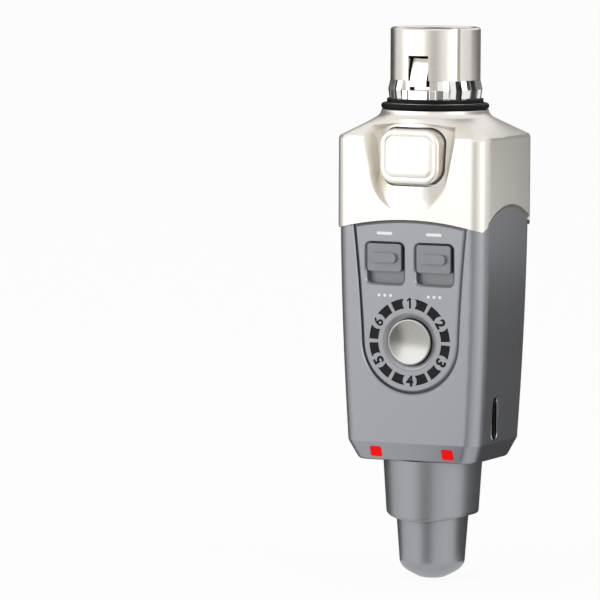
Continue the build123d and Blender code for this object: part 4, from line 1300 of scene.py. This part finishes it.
def lay_floor():
    """A pale floor that shows nearly white and keeps a soft shadow."""
    size = 14
    behind = 2
    white_share = 0.92
    deselect_all()
    low = FRAME_BOUNDS[0].z
    bpy.ops.mesh.primitive_plane_add(size=size, location=(0, behind, low))
    floor = bpy.context.object
    floor.name = "floor"
    material, nodes = new_material("studio_floor")
    matt = nodes.add("ShaderNodeBsdfDiffuse", {}, {"Color": (0.92, 0.92, 0.92, 1)})
    glow = nodes.add("ShaderNodeEmission", {}, {"Color": (1, 1, 1, 1), "Strength": 1.0})
    share = seen_share(nodes) * white_share
    both = nodes.add("ShaderNodeMixShader", {}, {0: share, 1: matt, 2: glow})
    nodes.add("ShaderNodeOutputMaterial", {}, {"Surface": both})
    floor.data.materials.append(material)


def around(azimuth, distance, height):
    """A place at an azimuth from the front, in degrees, turning to the right."""
    angle = math.radians(azimuth)
    return Vector((distance * math.sin(angle), -distance * math.cos(angle), height))


def aim(thing, target):
    """Turns a thing so that its -Z side looks at a point."""
    away = thing.location - target
    thing.rotation_euler = away.to_track_quat("Z", "Y").to_euler()


def hang_card(name, azimuth, distance, width, height, level, glow):
    """An upright card that faces the object and shows in reflections only."""
    deselect_all()
    bpy.ops.mesh.primitive_plane_add(size=1, location=around(azimuth, distance, level))
    card = bpy.context.object
    card.name = name
    card.scale = (width, height, 1)
    aim(card, Vector((0, 0, level)))
    hide_card(card, glow)


def lay_mat(name, azimuth, half_angle, near, far, glow):
    """A fan-shaped mat on the floor that shows in reflections only."""
    deselect_all()
    low = FRAME_BOUNDS[0].z
    middle = (near + far) / 2
    bpy.ops.mesh.primitive_plane_add(size=1, location=around(azimuth, middle, low + 0.4 * MM))
    mat = bpy.context.object
    mat.name = name
    mat.scale = (1, far - near, 1)
    mat.rotation_euler = (0, 0, math.radians(azimuth))
    apply_place(mat)
    spread = math.tan(math.radians(half_angle))
    for vertex in mat.data.vertices:
        outward = around(azimuth, 1, 0)
        sideways = Vector((-outward.y, outward.x, 0))
        reach = vertex.co.dot(outward)
        side = 1 if vertex.co.dot(sideways) > 0 else -1
        vertex.co = outward * reach + sideways * side * reach * spread + Vector((0, 0, vertex.co.z))
    hide_card(mat, glow)


def hide_card(card, glow):
    """Gives a card an even glow and shows it to reflections only."""
    material, nodes = new_material(card.name)
    shader = nodes.add("ShaderNodeEmission", {}, {"Color": (glow, glow, glow * 0.97, 1), "Strength": 1.0})
    nodes.add("ShaderNodeOutputMaterial", {}, {"Surface": shader})
    card.data.materials.append(material)
    card.visible_camera = False
    card.visible_shadow = False
    card.visible_diffuse = False


def hang_lamp(name, azimuth, distance, width, height, level, radiance):
    """A soft box of an even radiance."""
    lamp_data = bpy.data.lights.new(name, "AREA")
    lamp_data.shape = "RECTANGLE"
    lamp_data.size = width
    lamp_data.size_y = height
    lamp_data.energy = radiance * math.pi * width * height
    lamp = bpy.data.objects.new(name, lamp_data)
    bpy.context.scene.collection.objects.link(lamp)
    lamp.location = around(azimuth, distance, level)
    aim(lamp, LAMP_TARGET)
    lamp.visible_camera = False


def place_camera():
    """The camera at the product's three-quarter view."""
    camera_data = bpy.data.cameras.new("camera")
    camera_data.sensor_width = CAMERA_SENSOR
    camera_data.lens = CAMERA_LENS
    camera_data.clip_start = 0.01
    camera_data.clip_end = 50
    camera = bpy.data.objects.new("camera", camera_data)
    bpy.context.scene.collection.objects.link(camera)
    turn = (
        Matrix.Rotation(CAMERA_YAW, 4, "Z")
        @ Matrix.Rotation(math.pi / 2 - CAMERA_PITCH, 4, "X")
        @ Matrix.Rotation(CAMERA_ROLL, 4, "Z")
    )
    camera.matrix_world = Matrix.Translation(CAMERA_PLACE) @ turn
    bpy.context.scene.camera = camera


class TRANSMITTER_OT_stage(TransmitterPiece, bpy.types.Operator):
    """Sets the world, the floor, the lamps, the cards and mats for reflections, and the camera"""

    bl_idname = "transmitter.stage"
    bl_label = "Stage"

    def execute(self, context):
        context.scene.view_settings.view_transform = "Standard"
        light_world()
        lay_floor()
        for lamp in LAMPS:
            hang_lamp(*lamp)
        for card in CARDS:
            hang_card(*card)
        for mat in MATS:
            lay_mat(*mat)
        place_camera()
        return {"FINISHED"}


# ---------------------------------------------------------------- panel, registration, run


PIECES = (
    TRANSMITTER_OT_finishes,
    TRANSMITTER_OT_shells,
    TRANSMITTER_OT_nose,
    TRANSMITTER_OT_ground_ring,
    TRANSMITTER_OT_seals,
    TRANSMITTER_OT_latch,
    TRANSMITTER_OT_panel,
    TRANSMITTER_OT_numerals,
    TRANSMITTER_OT_switches,
    TRANSMITTER_OT_button,
    TRANSMITTER_OT_lenses,
    TRANSMITTER_OT_port,
    TRANSMITTER_OT_inside,
    TRANSMITTER_OT_stage,
)


class TRANSMITTER_PT_sidebar(bpy.types.Panel):
    """Lists the pieces of the transmitter in the order in which they are made"""

    bl_idname = "TRANSMITTER_PT_sidebar"
    bl_label = "Transmitter"
    bl_space_type = "VIEW_3D"
    bl_region_type = "UI"
    bl_category = "Transmitter"

    def draw(self, context):
        column = self.layout.column(align=True)
        for piece in PIECES:
            column.operator(piece.bl_idname)
        for group in (context.scene.transmitter_sizes, context.scene.transmitter_colours):
            column.separator()
            for name in group.bl_rna.properties.keys():
                if name not in {"rna_type", "name"}:
                    column.prop(group, name)


CLASSES = (TransmitterSizes, TransmitterColours) + PIECES + (TRANSMITTER_PT_sidebar,)


def register():
    """Registers the add-on's classes and its settings."""
    for cls in CLASSES:
        bpy.utils.register_class(cls)
    bpy.types.Scene.transmitter_sizes = bpy.props.PointerProperty(type=TransmitterSizes)
    bpy.types.Scene.transmitter_colours = bpy.props.PointerProperty(type=TransmitterColours)


def unregister():
    """Takes them away again."""
    del bpy.types.Scene.transmitter_colours
    del bpy.types.Scene.transmitter_sizes
    for cls in reversed(CLASSES):
        bpy.utils.unregister_class(cls)


def main():
    """Makes every piece in order."""
    register()
    for piece in PIECES:
        group, name = piece.bl_idname.split(".")
        getattr(getattr(bpy.ops, group), name)()


if __name__ == "__main__":
    main()
